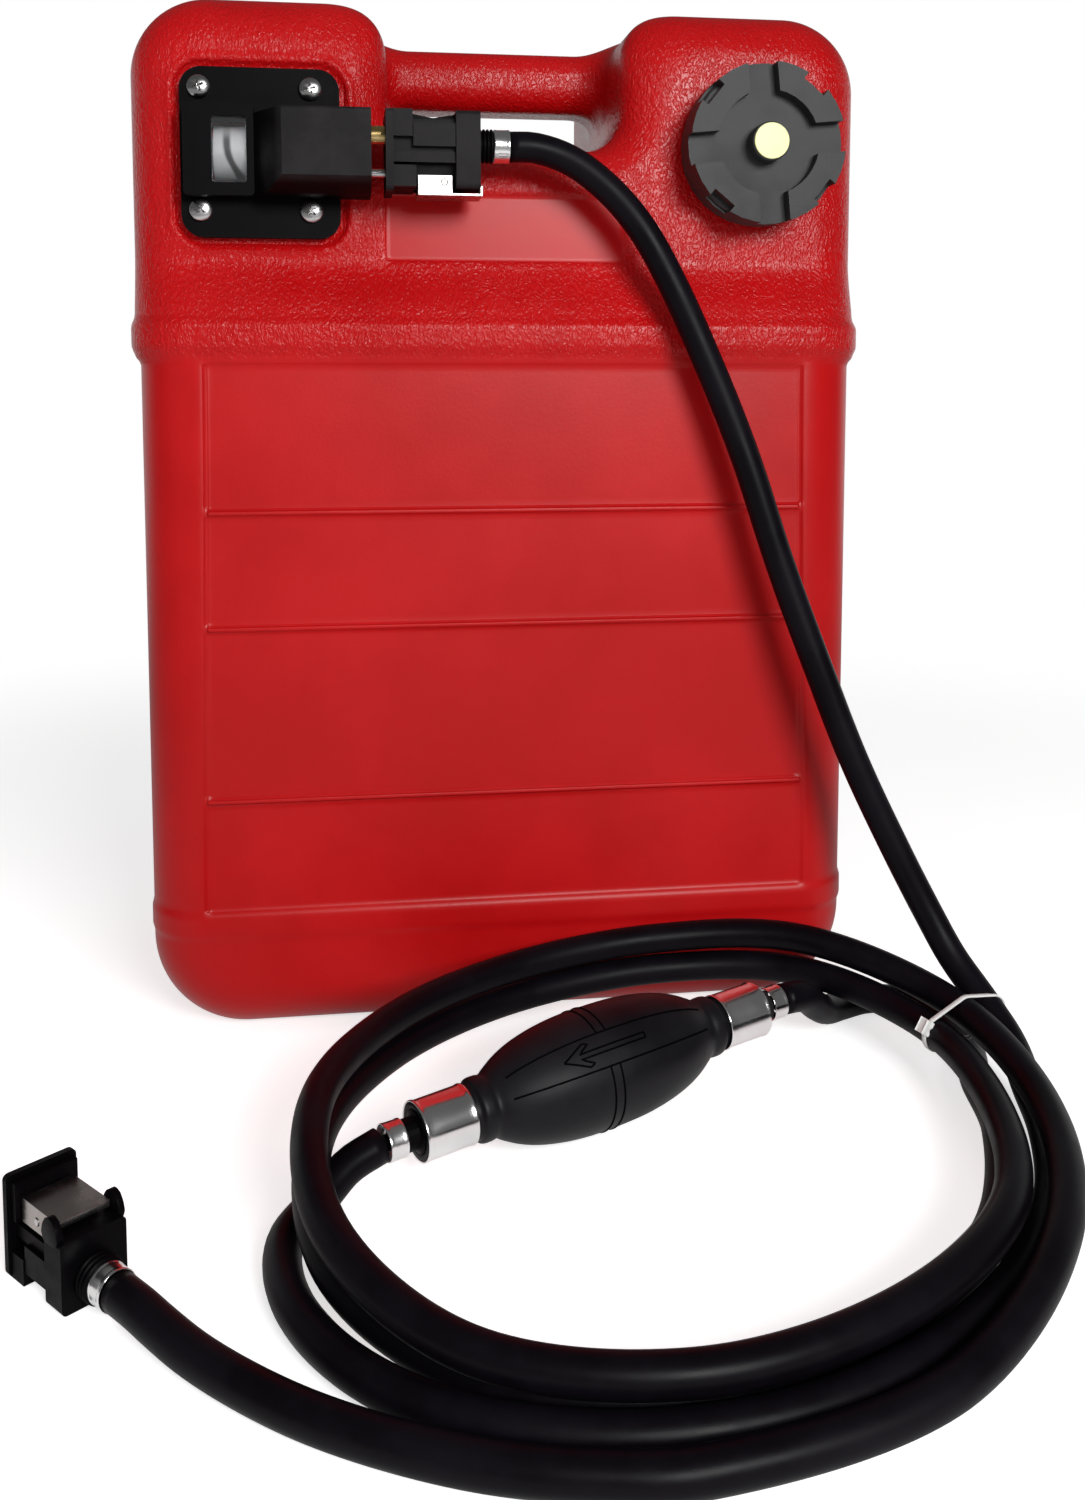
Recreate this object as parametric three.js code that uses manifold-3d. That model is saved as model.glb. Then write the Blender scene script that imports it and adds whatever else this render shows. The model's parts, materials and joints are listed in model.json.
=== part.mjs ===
// A portable outboard fuel tank with its fuel line: a blow-moulded tank with a filler cap, a gauge
// and outlet unit, a quick connector, a coiled hose with a primer bulb, and the engine's connector.
// Millimetres, +Z up. The front faces -Y and the origin is on the floor under the tank's middle.
import * as THREE from 'three';
import { mergeVertices } from 'three/addons/utils/BufferGeometryUtils.js';
import Module from 'manifold-3d';

const wasm = await Module();
wasm.setup();

// Clearances shared by all pieces
const fit = 0.3;
const over = 3;
const chamfer = 1;
const weld = 0.0005;

// Tank shell
const tankWidth = 350;
const tankHeight = 491;
const tankDepth = 190;
const wall = 4;
const waistSetIn = 2.5;
const baseCorner = 46;
const edgeRound = 29;
const shoulderEdge = 24;
const valleyEdge = 16;
const baseCrestZ = 50;
const beltStep = 3;
const crestHeight = 12;
const crestStand = 1.5;
const deckSetIn = 12;
const shoulderWidth = 119;
const shoulderOuterRound = 37;
const shoulderInnerRound = 25;
const gripHeight = 30;
const gripDepth = 38;
const gripRound = 12;
const panelHalfTop = 141;
const panelHalfBase = 145;
const panelDepth = 1.2;
const panelRibShares = [0.2085, 0.5235, 0.7323];
const panelRibWidth = 3;
const patchX = -1;
const patchWidth = 114;
const patchHeight = 31.5;
const patchDepth = 0.8;

// Heights on the upper body, each a drop from the tank's top
const beltDrop = 169;
const rampDrop = 150;
const deckDrop = 123;
const patchDrop = 106;
const valleyDrop = 67;
const gripDrop = 39;
const beltZ = tankHeight - beltDrop;
const rampZ = tankHeight - rampDrop;
const deckZ = tankHeight - deckDrop;
const patchZ = tankHeight - patchDrop;
const valleyZ = tankHeight - valleyDrop;
const gripZ = tankHeight - gripDrop;

// Filler neck and cap, placed from the tank's right side and top
const capSetIn = 56.5;
const capDrop = 67.5;
const capX = tankWidth / 2 - capSetIn;
const capZ = tankHeight - capDrop;
const neckBore = 46;
const neckWall = 4;
const neckHeight = 15;
const bossMargin = 5;
const bossDepth = 25;
const capDiameter = 74;
const capSkirtLow = 3;
const capDiscHeight = 22;
const capDiscWall = 4;
const lugHeight = 7;
const lugWidth = 13;
const lugStand = 1.2;
const gripLow = 10;
const lugSlot = 14;
const lugSkew = 0.1;
const notchWidth = 12;
const notchDepth = 4;
const gasketThick = 2.2;
const ventStem = 5;
const ventSealThick = 1.4;
const ventSealDiameter = 12;
const ventKnobDiameter = 18;
const ventKnobHeight = 8;
const ventDiscDiameter = 16.5;
const ventDiscThick = 1.2;

// Gauge and outlet unit, with the middle of its plate placed from the tank's left side and top
const gaugeSetIn = 60.5;
const gaugeDrop = 74;
const gaugeX = gaugeSetIn - tankWidth / 2;
const gaugeZ = tankHeight - gaugeDrop;
const plateWidth = 72;
const plateHeight = 76.5;
const plateRound = 10;
const plateThick = 4.5;
const pocketMargin = 3;
const pocketDepth = 2;
const padThick = 9;
const padMargin = 1;
const seatBore = 54;
const plateGasketThick = 1.6;
const windowBoxWidth = 31.5;
const windowBoxHeight = 41;
const windowBoxStand = 15.5;
const windowBoxLeft = 2;
const windowBoxRound = 2;
const windowWidth = 15.5;
const windowHeight = 29.3;
const windowX = -13.5;
const windowRound = 1.5;
const windowThick = 2;
const windowLip = 1;
const outletLeft = 10.5;
const outletWidth = 39;
const outletTop = 16;
const outletHeight = 36.2;
const outletStand = 38;
const outletSlope = 13;
const outletChamfer = 6.5;
const outletLowStand = 26;
const screwMidX = -2.2;
const screwMidZ = 1.6;
const screwSpanX = 50;
const screwSpanZ = 55;
const screwHead = 10.5;
const screwHeadHeight = 3.2;
const screwShank = 4;
const screwLength = 12;
const drumDiameter = 24;
const drumWidth = 14.5;
const drumRoom = 1.5;
const earThick = 3;
const earHeight = 16;
const earReach = 9;
const axleDiameter = 3;
const armWire = 3;
const armReach = 25;
const armDrop = 150;
const floatDiameter = 32;
const floatLength = 36;
const floatChamfer = 2;
const pickupX = 18.5;
const pickupDiameter = 8;
const pickupBore = 5;
const pickupBoss = 12.6;
const pickupBossLength = 12;
const strainerDiameter = 14;
const strainerLength = 20;
const strainerWall = 1.2;

// Outlet pins and the quick connectors
const fuelPinDiameter = 8.4;
const steelPinDiameter = 3.9;
const pinStand = 25;
const fuelPinZ = 6;
const pinSpacing = 16.8;
const pinBury = 20;
const pinPlug = 14;
const connectorGap = 6.2;
const tankPlug = {
  length: 41.8, width: 33, high: 17.7, faceLow: 17.7, tailLow: 16, keelLow: 16, faceThick: 3.3,
  latchStart: 14.2, latchLength: 29.1, latchLow: 19, latchLip: 4.5, pivot: 26, pivotLow: 13.1,
};
const enginePlug = {
  length: 36.8, width: 27, high: 14.4, faceLow: 22.4, tailLow: 11.2, keelLow: 12.7, faceThick: 2.6,
  latchStart: 6.6, latchLength: 24, latchLow: 15.5, latchLip: 2.7, pivot: 17, pivotLow: 10.5,
};
const tailThick = 10.8;
const plugRound = 2;
const keelSetIn = 5;
const keelTop = 5;
const sideSetIn = 3;
const blockLength = 10;
const blockStep = 1.5;
const socketDepth = 20.3;
const chamberDiameter = 10;
const chamberLength = 11;
const chamberLead = 5;
const plungerTravel = 4;
const lineBore = 4;
const hoseDrop = 4;
const barbDiameter = 6.4;
const collarDiameter = 13;
const collarLength = 7;
const crimpLength = 7.5;
const crimpDiameter = 15;
const plungerDiameter = 8.2;
const plungerLength = 5.5;
const springWire = 0.9;
const springTurns = 4;
const checkSpringDiameter = 7.2;
const latchSpringDiameter = 3.6;
const latchSpringWire = 0.5;
const latchSpringTurns = 2;
const ringWire = 1.6;
const latchWidth = 20;
const latchSheet = 1.2;
const latchCheekLength = 15.5;
const latchCheek = 9;
const catchWidth = 9;
const latchPinDiameter = 2.4;
const engineX = -190.6;
const engineY = -260.2;
const engineTurn = -0.88;

// Primer bulb, along its own axis from the first crimp's middle
const bulbStart = [-63.8, -233.6, 20.1];
const bulbEnd = [110.6, -160, 32.1];
const bulbDiameter = 49.5;
const bulbWall = 3.5;
const bulbNeck = 22;
const bulbNeckLength = 29;
const bulbOffset = 10;
const bandDiameter = 24;
const bandLength = 22;
const bandGap = 10;
const bandRoll = 0.4;
const valveDiameter = 17;
const valveLength = 24;
const valveBore = 11;
const valveSeat = 6;
const discDiameter = 10;
const discThick = 1.5;
const discTravel = 1.5;

// Hose and cable tie
const hoseDiameter = 13.8;
const hosePitch = 14.6;
const hoseRestZ = 7.1;
const tieBand = 3.2;
const tieThick = 1.2;
const tieHead = 6.5;
const tieSlack = 2.2;
const tieHeadShare = 0.8;
const tieSides = 16;
const tieReach = 45;
const tieX = 190;
const tieY = -179;
const tieTurn = 0.25;

// Routes of the hose where it is not coiled, chosen by hand
const tankLeadRoute = [
  [-2.2, -108, 419], [9, -108, 418.9], [25, -108, 414], [42, -107.5, 402.5], [58, -108, 385],
  [72, -110, 361], [91, -114, 319], [107, -118, 278], [124, -122, 226], [141, -127, 179],
  [158, -131, 135], [177, -135.5, 94], [192, -142, 63], [200.5, -150.5, 45], [208.5, -167, 30.5],
  [212, -188, 19.8], [208.5, -212, 11.3], [201, -242, 8.5], [182.5, -284, 7.1], [153, -323, 7.1],
  [109, -358.5, 7.1], [57, -380.8, 7.1], [1, -385, 7.1], [-47.5, -371, 7.1], [-80.5, -344.5, 7.1],
  [-100.5, -308.5, 7.1], [-103.5, -273, 7.1], [-91, -252, 10], [-81, -242.3, 16],
  [-68.7, -235.7, 19.7],
];
const bulbLeadRoute = [
  [115.5, -158, 32.5], [127.5, -151.5, 30.4], [138.5, -139.5, 20], [149, -125, 11],
  [161, -113.5, 7.4], [175.5, -107.8, 7.1], [190, -111, 7.1], [200, -123, 7.1], [204, -141, 7.1],
  [202.5, -166, 7.1], [193, -194.5, 7.1],
];
const engineLeadRoute = [
  [-12, -399, 7.1], [-41, -391.5, 7.1], [-68, -379.5, 7.1], [-93.5, -364, 7.1],
  [-114.5, -347, 7.2], [-131, -330.9, 7.7], [-142.3, -318.3, 9], [-149.5, -309.9, 10.1],
  [-154.5, -303.9, 10.3], [-157.6, -300.1, 10.3],
];
// The coil is an ellipse lying on the floor, turned on it, and run through clockwise from above.
// Every thirty degrees its strand lies so many hose pitches outside the ellipse and off the floor.
const coilMidX = 45;
const coilMidY = -239;
const coilLong = 306;
const coilShort = 251;
const coilTurn = Math.PI / 4;
const coilStart = -Math.PI * 50 / 180;
const coilStep = Math.PI / 6;
const coilReachShares = [
  0.05, -0.3, -0.5, -0.5, -0.45, -0.1, 0.05, 0.1, 0.15, -0.15, 0.05, 0, -0.25, 0.15, 0.02, 0,
  0, 0, 0.05, 0.1, 0.15, -0.15, 0.12, 1, 1.1, 1.42, 1.62, 1.56,
];
const coilLiftShares = [
  0, 0, 0, 0, 0.08, 0.6, 1.22, 1.15, 1.05, 1.3, 1.42, 1.1, 1.05, 0.96, 0.9, 0.88,
  1, 1.62, 2.26, 2.19, 2.09, 2.36, 2.5, 1.67, 1.14, 0.8, 0.15, 0,
];
const coilStepsPerStation = 2;
const coilSides = 6;
const hoseSides = 8;
const hoseStepShares = { tankLead: 2.3, bulbLead: 1.2, engineLead: 2.2 };

// Materials
const finish = (color, roughness, metalness) =>
  new THREE.MeshStandardMaterial({ color, roughness, metalness });
const redShell = finish(0xb3121a, 0.42, 0);
const blackPlastic = finish(0x202022, 0.6, 0);
const blackRubber = finish(0x161617, 0.7, 0);
const brightSteel = finish(0xc8c9cc, 0.25, 1);
const brass = finish(0xb8923e, 0.3, 1);
const paleDisc = finish(0xe6dfa8, 0.5, 0);
const clearLens = finish(0xdfe6e8, 0.08, 0);
const whiteNylon = finish(0xf0f0ee, 0.45, 0);
const floatFoam = finish(0x3a3a3c, 0.9, 0);

// Closed geometry: one set of shared vertices, no flat triangles and faces pointing out
function closed(geometry) {
  const bare = geometry.index ? geometry.toNonIndexed() : geometry.clone();
  bare.deleteAttribute('normal');
  bare.deleteAttribute('uv');
  const merged = mergeVertices(bare, weld);
  const spot = merged.attributes.position;
  const read = (i) => new THREE.Vector3().fromBufferAttribute(spot, i);
  const kept = [];
  let volume = 0;
  for (let i = 0; i < merged.index.count; i += 3) {
    const [a, b, c] = [0, 1, 2].map((k) => merged.index.getX(i + k));
    if (a === b || b === c || a === c) continue;
    kept.push([a, b, c]);
    volume += read(a).dot(read(b).cross(read(c)));
  }
  const order = volume < 0 ? kept.map(([a, b, c]) => [a, c, b]) : kept;
  merged.setIndex(order.flat());
  return merged;
}

function solid(geometry) {
  const body = closed(geometry);
  const vertProperties = new Float32Array(body.attributes.position.array);
  const triVerts = new Uint32Array(body.index.array);
  return new wasm.Manifold(new wasm.Mesh({ numProp: 3, vertProperties, triVerts }));
}

function shaped(body) {
  const mesh = body.getMesh();
  const geometry = new THREE.BufferGeometry();
  const spots = new Float32Array(mesh.vertProperties);
  geometry.setAttribute('position', new THREE.BufferAttribute(spots, 3));
  geometry.setIndex(Array.from(mesh.triVerts));
  return geometry;
}

const join = (first, ...rest) => rest.reduce((body, next) => body.add(next), first);
const cut = (first, ...rest) => rest.reduce((body, next) => body.subtract(next), first);

function piece(name, form, material) {
  const geometry = closed(form.isBufferGeometry ? form : shaped(form));
  geometry.computeVertexNormals();
  const mesh = new THREE.Mesh(geometry, material);
  mesh.name = name;
  return mesh;
}

function placed(pieces, x, y, z) {
  const group = new THREE.Group();
  group.position.set(x, y, z);
  group.add(...pieces);
  return group;
}

// Revolved form: radius and height pairs, with the height going out of the front, to -Y
function turned(profile, sides = 24) {
  const points = profile.map(([radius, height]) => new THREE.Vector2(radius, -height));
  return new THREE.LatheGeometry(points, sides);
}

const disc = (diameter, low, high, sides) =>
  turned([[0, low], [diameter / 2, low], [diameter / 2, high], [0, high]], sides);

function sleeve(bore, diameter, low, high, sides) {
  const [inner, outer] = [bore / 2, diameter / 2];
  return turned([[inner, low], [outer, low], [outer, high], [inner, high], [inner, low]], sides);
}

// The same forms with the height running along +X or +Z
const alongX = (geometry) => geometry.rotateZ(Math.PI / 2);
const alongZ = (geometry) => geometry.rotateX(-Math.PI / 2);

function roundedRect(left, low, right, high, radius) {
  const shape = new THREE.Shape();
  shape.moveTo(left + radius, low);
  shape.absarc(right - radius, low + radius, radius, -Math.PI / 2, 0);
  shape.absarc(right - radius, high - radius, radius, 0, Math.PI / 2);
  shape.absarc(left + radius, high - radius, radius, Math.PI / 2, Math.PI);
  shape.absarc(left + radius, low + radius, radius, Math.PI, Math.PI * 1.5);
  return shape;
}

const outline = (points) => new THREE.Shape(points.map(([x, y]) => new THREE.Vector2(x, y)));

// A plate drawn in X and Z and standing out of the front from one height to another
function slab(shape, low, high, curveSegments = 5) {
  const geometry = new THREE.ExtrudeGeometry(shape, {
    depth: high - low, bevelEnabled: false, curveSegments,
  });
  const axes = new THREE.Matrix4().makeBasis(
    new THREE.Vector3(1, 0, 0), new THREE.Vector3(0, 0, 1), new THREE.Vector3(0, -1, 0));
  return geometry.applyMatrix4(axes).translate(0, -low, 0);
}

// A bar drawn in Y and Z and running along X
function bar(shape, left, right, curveSegments = 4) {
  const geometry = new THREE.ExtrudeGeometry(shape, {
    depth: right - left, bevelEnabled: false, curveSegments,
  });
  const axes = new THREE.Matrix4().makeBasis(
    new THREE.Vector3(0, 1, 0), new THREE.Vector3(0, 0, 1), new THREE.Vector3(1, 0, 0));
  return geometry.applyMatrix4(axes).translate(left, 0, 0);
}

function box(left, right, back, front, low, high) {
  const geometry = new THREE.BoxGeometry(right - left, Math.abs(front - back), high - low);
  return geometry.translate((left + right) / 2, (front + back) / 2, (low + high) / 2);
}

// A closed body through rings of equal counts of points, with flat ends
function loft(rings) {
  const count = rings[0].length;
  const index = [];
  rings.slice(1).forEach((ring, r) => {
    ring.forEach((point, i) => {
      const [a, b] = [r * count + i, r * count + (i + 1) % count];
      index.push(a, b, b + count, a, b + count, a + count);
    });
  });
  const last = (rings.length - 1) * count;
  for (let i = 1; i < count - 1; i++) {
    index.push(0, i + 1, i, last, last + i, last + i + 1);
  }
  const geometry = new THREE.BufferGeometry();
  geometry.setAttribute('position', new THREE.Float32BufferAttribute(rings.flat(2), 3));
  geometry.setIndex(index);
  return geometry;
}

// Corner points of a rectangle whose corners have their own radii, anticlockwise
function cornerPoints(halfX, halfY, radii, steps) {
  const signs = [[1, -1], [1, 1], [-1, 1], [-1, -1]];
  return signs.flatMap(([sx, sy], corner) => {
    const radius = Math.min(radii[corner], halfX, halfY);
    return Array.from({ length: steps + 1 }, (unused, i) => {
      const angle = (corner - 1 + i / steps) * Math.PI / 2;
      const x = sx * (halfX - radius) + radius * Math.cos(angle);
      const y = sy * (halfY - radius) + radius * Math.sin(angle);
      return [x, y];
    });
  });
}

// The tank's body as level rings from the base to the deck, drawn in by the given inset
function bellyForm(inset, withCrests) {
  const half = tankWidth / 2;
  const waist = half - waistSetIn;
  const depth = tankDepth / 2;
  const crest = (low, high, width, stand) => [
    [low, width, depth], [low + stand * 2, width + stand, depth + stand],
    [high - stand * 2, width + stand, depth + stand], [high, width, depth],
  ];
  const levels = [];
  const steps = 6;
  for (let i = 0; i <= steps; i++) {
    const angle = i / steps * Math.PI / 2;
    const z = baseCorner * (1 - Math.cos(angle));
    const rise = Math.max(edgeRound - z, 0);
    const draw = edgeRound - Math.sqrt(edgeRound * edgeRound - rise * rise);
    levels.push([z, waist - baseCorner * (1 - Math.sin(angle)), depth - draw]);
  }
  if (withCrests) levels.push(...crest(baseCrestZ, baseCrestZ + crestHeight, waist, crestStand / 2));
  levels.push([beltZ, waist, depth], [beltZ + beltStep, half, depth]);
  if (withCrests) {
    levels.push(...crest(beltZ + beltStep * 2, rampZ, half, crestStand).slice(1));
  } else {
    levels.push([rampZ, half, depth]);
  }
  levels.push([deckZ, half - fit, depth - deckSetIn - fit]);
  const round = Math.max(edgeRound - inset, fit);
  return loft(levels.map(([z, x, y]) => {
    const level = Math.max(z, inset);
    return cornerPoints(x - inset, y - inset, [round, round, round, round], 4)
      .map(([px, py]) => [px, py, level]);
  }).filter((ring, i, all) => i === 0 || ring[0][2] > all[i - 1][0][2]));
}

// A form drawn in X and Z with its front and back edges rounded
function pillow(left, right, low, high, radii, edge, inset) {
  const halfX = (right - left) / 2;
  const halfZ = (high - low) / 2;
  const halfY = tankDepth / 2 - deckSetIn;
  const steps = 5;
  const rings = [];
  for (const side of [-1, 1]) {
    for (let i = 0; i <= steps; i++) {
      const angle = (side < 0 ? i : steps - i) / steps * Math.PI / 2;
      const draw = inset + (edge - inset) * (1 - Math.sin(angle));
      const y = side * (halfY - inset - (edge - inset) * (1 - Math.cos(angle)));
      const rounds = radii.map((r) => Math.max(r - draw, fit));
      const corners = cornerPoints(halfX - draw, halfZ - draw, rounds, 4);
      rings.push(corners.map(([px, pz]) => [px + (left + right) / 2, y, pz + (low + high) / 2]));
    }
  }
  return loft(rings);
}

// The whole tank form, outside with no inset and inside with the wall as the inset
function tankForm(inset) {
  const half = tankWidth / 2;
  const root = beltZ;
  const [outer, inner] = [shoulderOuterRound, shoulderInnerRound];
  const inside = half - shoulderWidth;
  const left = pillow(-half, -inside, root, tankHeight, [inner, inner, outer, outer], shoulderEdge, inset);
  const right = pillow(inside, half, root, tankHeight, [outer, outer, inner, inner], shoulderEdge, inset);
  const reach = inside + inner;
  const valley = pillow(-reach, reach, root, valleyZ, [inner, inner, inner, inner], valleyEdge, inset);
  const halfGrip = gripDepth / 2 - inset;
  const grip = bar(
    roundedRect(-halfGrip, gripZ + inset, halfGrip, gripZ + gripHeight - inset, gripRound - inset),
    -inside - inner / 2, inside + inner / 2);
  return join(solid(bellyForm(inset, inset === 0)), ...[left, right, valley, grip].map(solid));
}

function screwSpots() {
  return [-1, 1].flatMap((side) => [-1, 1].map((level) =>
    [screwMidX + side * screwSpanX / 2, screwMidZ + level * screwSpanZ / 2]));
}

function plateShape(margin) {
  const [x, z] = [plateWidth / 2 + margin, plateHeight / 2 + margin];
  return roundedRect(-x, -z, x, z, plateRound + margin);
}

function tankBody() {
  const front = -(tankDepth / 2 - deckSetIn);
  const seat = (geometry) => solid(geometry.translate(gaugeX, front, gaugeZ));
  const filler = (geometry) => solid(geometry.translate(capX, front, capZ));
  const neck = neckBore + 2 * neckWall;
  const outside = join(
    tankForm(0),
    seat(slab(plateShape(pocketMargin + wall / 2), -bossDepth, 0)),
    filler(disc(neck + 2 * bossMargin, -bossDepth, 0, 32)));
  const shell = join(
    cut(outside, tankForm(wall)),
    seat(slab(plateShape(padMargin), -pocketDepth - padThick, -pocketDepth)),
    filler(disc(neck, -wall, neckHeight, 32)));
  const screwHoles = screwSpots().map(([x, z]) =>
    seat(disc(screwShank + 2 * fit, -pocketDepth - screwLength + plateThick, over, 8).translate(x, 0, z)));
  const panels = [-1, 1].map((side) => {
    const low = baseCrestZ + crestHeight;
    const shape = outline([
      [-panelHalfBase, low], [panelHalfBase, low],
      [panelHalfTop, beltZ - fit], [-panelHalfTop, beltZ - fit],
    ]);
    const depth = tankDepth / 2;
    return solid(side < 0
      ? slab(shape, depth - panelDepth, depth + over)
      : slab(shape, -depth - over, panelDepth - depth));
  });
  const ribs = [-1, 1].flatMap((side) => panelRibShares.map((share) => {
    const rib = disc(panelRibWidth, -panelHalfTop, panelHalfTop, 8);
    const low = baseCrestZ + crestHeight;
    const z = low + (beltZ - low) * share;
    return solid(alongX(rib).translate(0, side * (tankDepth / 2 - panelRibWidth / 2), z));
  }));
  const [patchHalfX, patchHalfZ] = [patchWidth / 2, patchHeight / 2];
  const patch = roundedRect(
    patchX - patchHalfX, patchZ - patchHalfZ, patchX + patchHalfX, patchZ + patchHalfZ, over);
  return join(
    cut(
      shell,
      seat(slab(plateShape(pocketMargin), -pocketDepth, over)),
      seat(disc(seatBore, -bossDepth, over, 24)),
      filler(disc(neckBore, -bossDepth, neckHeight + over, 32)),
      solid(slab(patch, -front - patchDepth, -front + over)),
      ...screwHoles, ...panels),
    ...ribs);
}

// Filler cap, its gasket and its vent
function fillerCap() {
  const [outer, bore] = [capDiameter / 2 - lugStand, neckBore / 2 + neckWall + 2 * fit];
  const under = capDiscHeight - capDiscWall;
  const shell = solid(turned([
    [ventStem / 2 + fit, under], [bore, under], [bore, capSkirtLow], [outer, capSkirtLow],
    [outer, capDiscHeight - chamfer], [outer - chamfer, capDiscHeight], [ventStem / 2 + fit, capDiscHeight],
    [ventStem / 2 + fit, under],
  ], 36));
  const [rim, lug, top] = [capDiameter / 2, capDiameter / 2 - lugWidth, capDiscHeight + lugHeight];
  const crown = solid(turned([
    [lug, capDiscHeight - lugStand], [outer - lugStand, capDiscHeight - lugStand],
    [outer - lugStand, gripLow], [rim, gripLow], [rim, top], [lug, top],
    [lug, capDiscHeight - lugStand],
  ], 36));
  const slots = [0, 1].map((half) => {
    const reach = capDiameter;
    const slot = box(-reach, reach, -capDiscHeight, -reach, -lugSlot / 2, lugSlot / 2);
    return solid(slot.rotateY(-lugSkew - half * Math.PI / 2));
  });
  const notches = [0, 1, 2, 3].map((quarter) => {
    const notch = box(rim - notchDepth, rim + over, over - capDiscHeight, -2 * top,
      -notchWidth / 2, notchWidth / 2);
    return solid(notch.rotateY(-lugSkew - (quarter + 0.5) * Math.PI / 2));
  });
  return join(shell, cut(crown, ...slots, ...notches));
}

function capUnit() {
  const neckRim = neckBore / 2 + neckWall;
  const top = capDiscHeight;
  const sealTop = top + fit + ventSealThick;
  const knobLow = sealTop + fit;
  const knobHigh = knobLow + ventKnobHeight;
  const stemEnd = neckHeight;
  return placed([
    piece('filler_cap', fillerCap(), blackPlastic),
    piece('cap_gasket', sleeve(
      neckBore + fit, 2 * neckRim, neckHeight + fit, neckHeight + fit + gasketThick, 24), blackRubber),
    piece('vent_seal', sleeve(ventStem + 2 * fit, ventSealDiameter, top + fit, sealTop, 20), blackRubber),
    piece('vent_knob', turned([
      [0, stemEnd], [ventStem / 2, stemEnd], [ventStem / 2, knobLow], [ventKnobDiameter / 2, knobLow],
      [ventKnobDiameter / 2, knobHigh], [0, knobHigh],
    ], 24), blackPlastic),
    piece('vent_disc', disc(ventDiscDiameter, knobHigh + fit / 3, knobHigh + ventDiscThick, 24), paleDisc),
  ], capX, -(tankDepth / 2 - deckSetIn), capZ);
}

// Gauge and outlet housing
function gaugeHousing() {
  const low = -pocketDepth + plateGasketThick + fit;
  const face = low + plateThick;
  const plate = solid(slab(plateShape(0), low, face));
  const [boxX, boxZ] = [windowBoxWidth / 2, windowBoxHeight / 2];
  const boxMid = -plateWidth / 2 + windowBoxLeft + boxX;
  const windowBox = solid(slab(
    roundedRect(boxMid - boxX, -boxZ, boxMid + boxX, boxZ, windowBoxRound), low, windowBoxStand));
  const outletRight = outletLeft + outletWidth;
  const base = outletTop - outletHeight;
  const plan = solid(slab(outline([
    [outletLeft - outletSlope, base], [outletRight, base],
    [outletRight, outletTop], [outletLeft - outletSlope, outletTop],
  ]), low, outletStand));
  const side = new THREE.ExtrudeGeometry(outline([
    [outletLeft - outletSlope, -face], [outletLeft - outletSlope, -windowBoxStand],
    [outletLeft, -outletStand], [outletRight, -outletStand], [outletRight, -face],
  ]), { depth: outletHeight, bevelEnabled: false }).translate(0, 0, base);
  const end = bar(outline([
    [-low, base], [-outletLowStand, base], [-outletStand, base + outletChamfer],
    [-outletStand, outletTop - chamfer], [-outletStand + chamfer, outletTop], [-low, outletTop],
  ]), outletLeft - outletSlope - over, outletRight + over);
  const outlet = plan.intersect(solid(side)).intersect(solid(end));
  const drumX = windowX;
  const cavity = drumWidth / 2 + drumRoom;
  const lens = windowBoxStand - windowThick - windowLip;
  const hollow = solid(slab(roundedRect(
    drumX - cavity, -windowHeight / 2, drumX + cavity, windowHeight / 2, chamfer), low - over, lens - fit));
  const recess = solid(slab(roundedRect(
    drumX - windowWidth / 2 - windowLip, -windowHeight / 2 - windowLip,
    drumX + windowWidth / 2 + windowLip, windowHeight / 2 + windowLip, chamfer),
  lens - fit * 2, lens + windowLip + fit));
  const opening = solid(slab(roundedRect(
    drumX - windowWidth / 2, -windowHeight / 2, drumX + windowWidth / 2, windowHeight / 2, windowRound),
  lens, windowBoxStand + over));
  const ears = [-1, 1].map((hand) => {
    const inner = drumX + hand * cavity;
    const outer = inner + hand * earThick;
    return solid(box(Math.min(inner, outer), Math.max(inner, outer),
      -face, earReach, -earHeight / 2, earHeight / 2));
  });
  const axle = solid(alongX(disc(
    axleDiameter + 2 * fit, drumX - cavity - earThick - over, drumX + cavity + earThick, 12)));
  const pipeZ = fuelPinZ;
  const boss = solid(disc(pickupBoss, -pocketDepth - pickupBossLength, low + over, 20)
    .translate(pickupX, 0, pipeZ));
  const pipeSocket = solid(disc(
    pickupDiameter + 2 * fit, -pocketDepth - pickupBossLength - over, low, 16).translate(pickupX, 0, pipeZ));
  const riser = solid(disc(pickupBore, low - over, pinStand, 12).translate(pickupX, 0, pipeZ));
  const pinEnd = outletRight - pinBury;
  const gallery = solid(alongX(disc(lineBore, pickupX - fit, pinEnd + fit, 12))
    .translate(0, -pinStand, pipeZ));
  const pinHoles = [[fuelPinDiameter, fuelPinZ], [steelPinDiameter, fuelPinZ - pinSpacing]]
    .map(([size, z]) => solid(alongX(disc(size + 2 * fit, pinEnd, outletRight + over, 16))
      .translate(0, -pinStand, z)));
  const screwHoles = screwSpots().map(([x, z]) =>
    solid(disc(screwShank + 2 * fit, low - over, face + over, 8).translate(x, 0, z)));
  return cut(
    join(plate, windowBox, outlet, ...ears, boss),
    hollow, recess, opening, axle, pipeSocket, riser, gallery, ...pinHoles, ...screwHoles);
}

function gaugeWindow() {
  const lens = windowBoxStand - windowThick - windowLip;
  const [x, z] = [windowWidth / 2 - fit, windowHeight / 2 - fit];
  const lip = windowLip - fit;
  const front = solid(slab(roundedRect(-x, -z, x, z, windowRound - fit), lens, windowBoxStand - fit));
  const flange = solid(slab(
    roundedRect(-x - lip, -z - lip, x + lip, z + lip, chamfer), lens, lens + windowLip));
  return shaped(join(front, flange)).translate(windowX, 0, 0);
}

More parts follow.
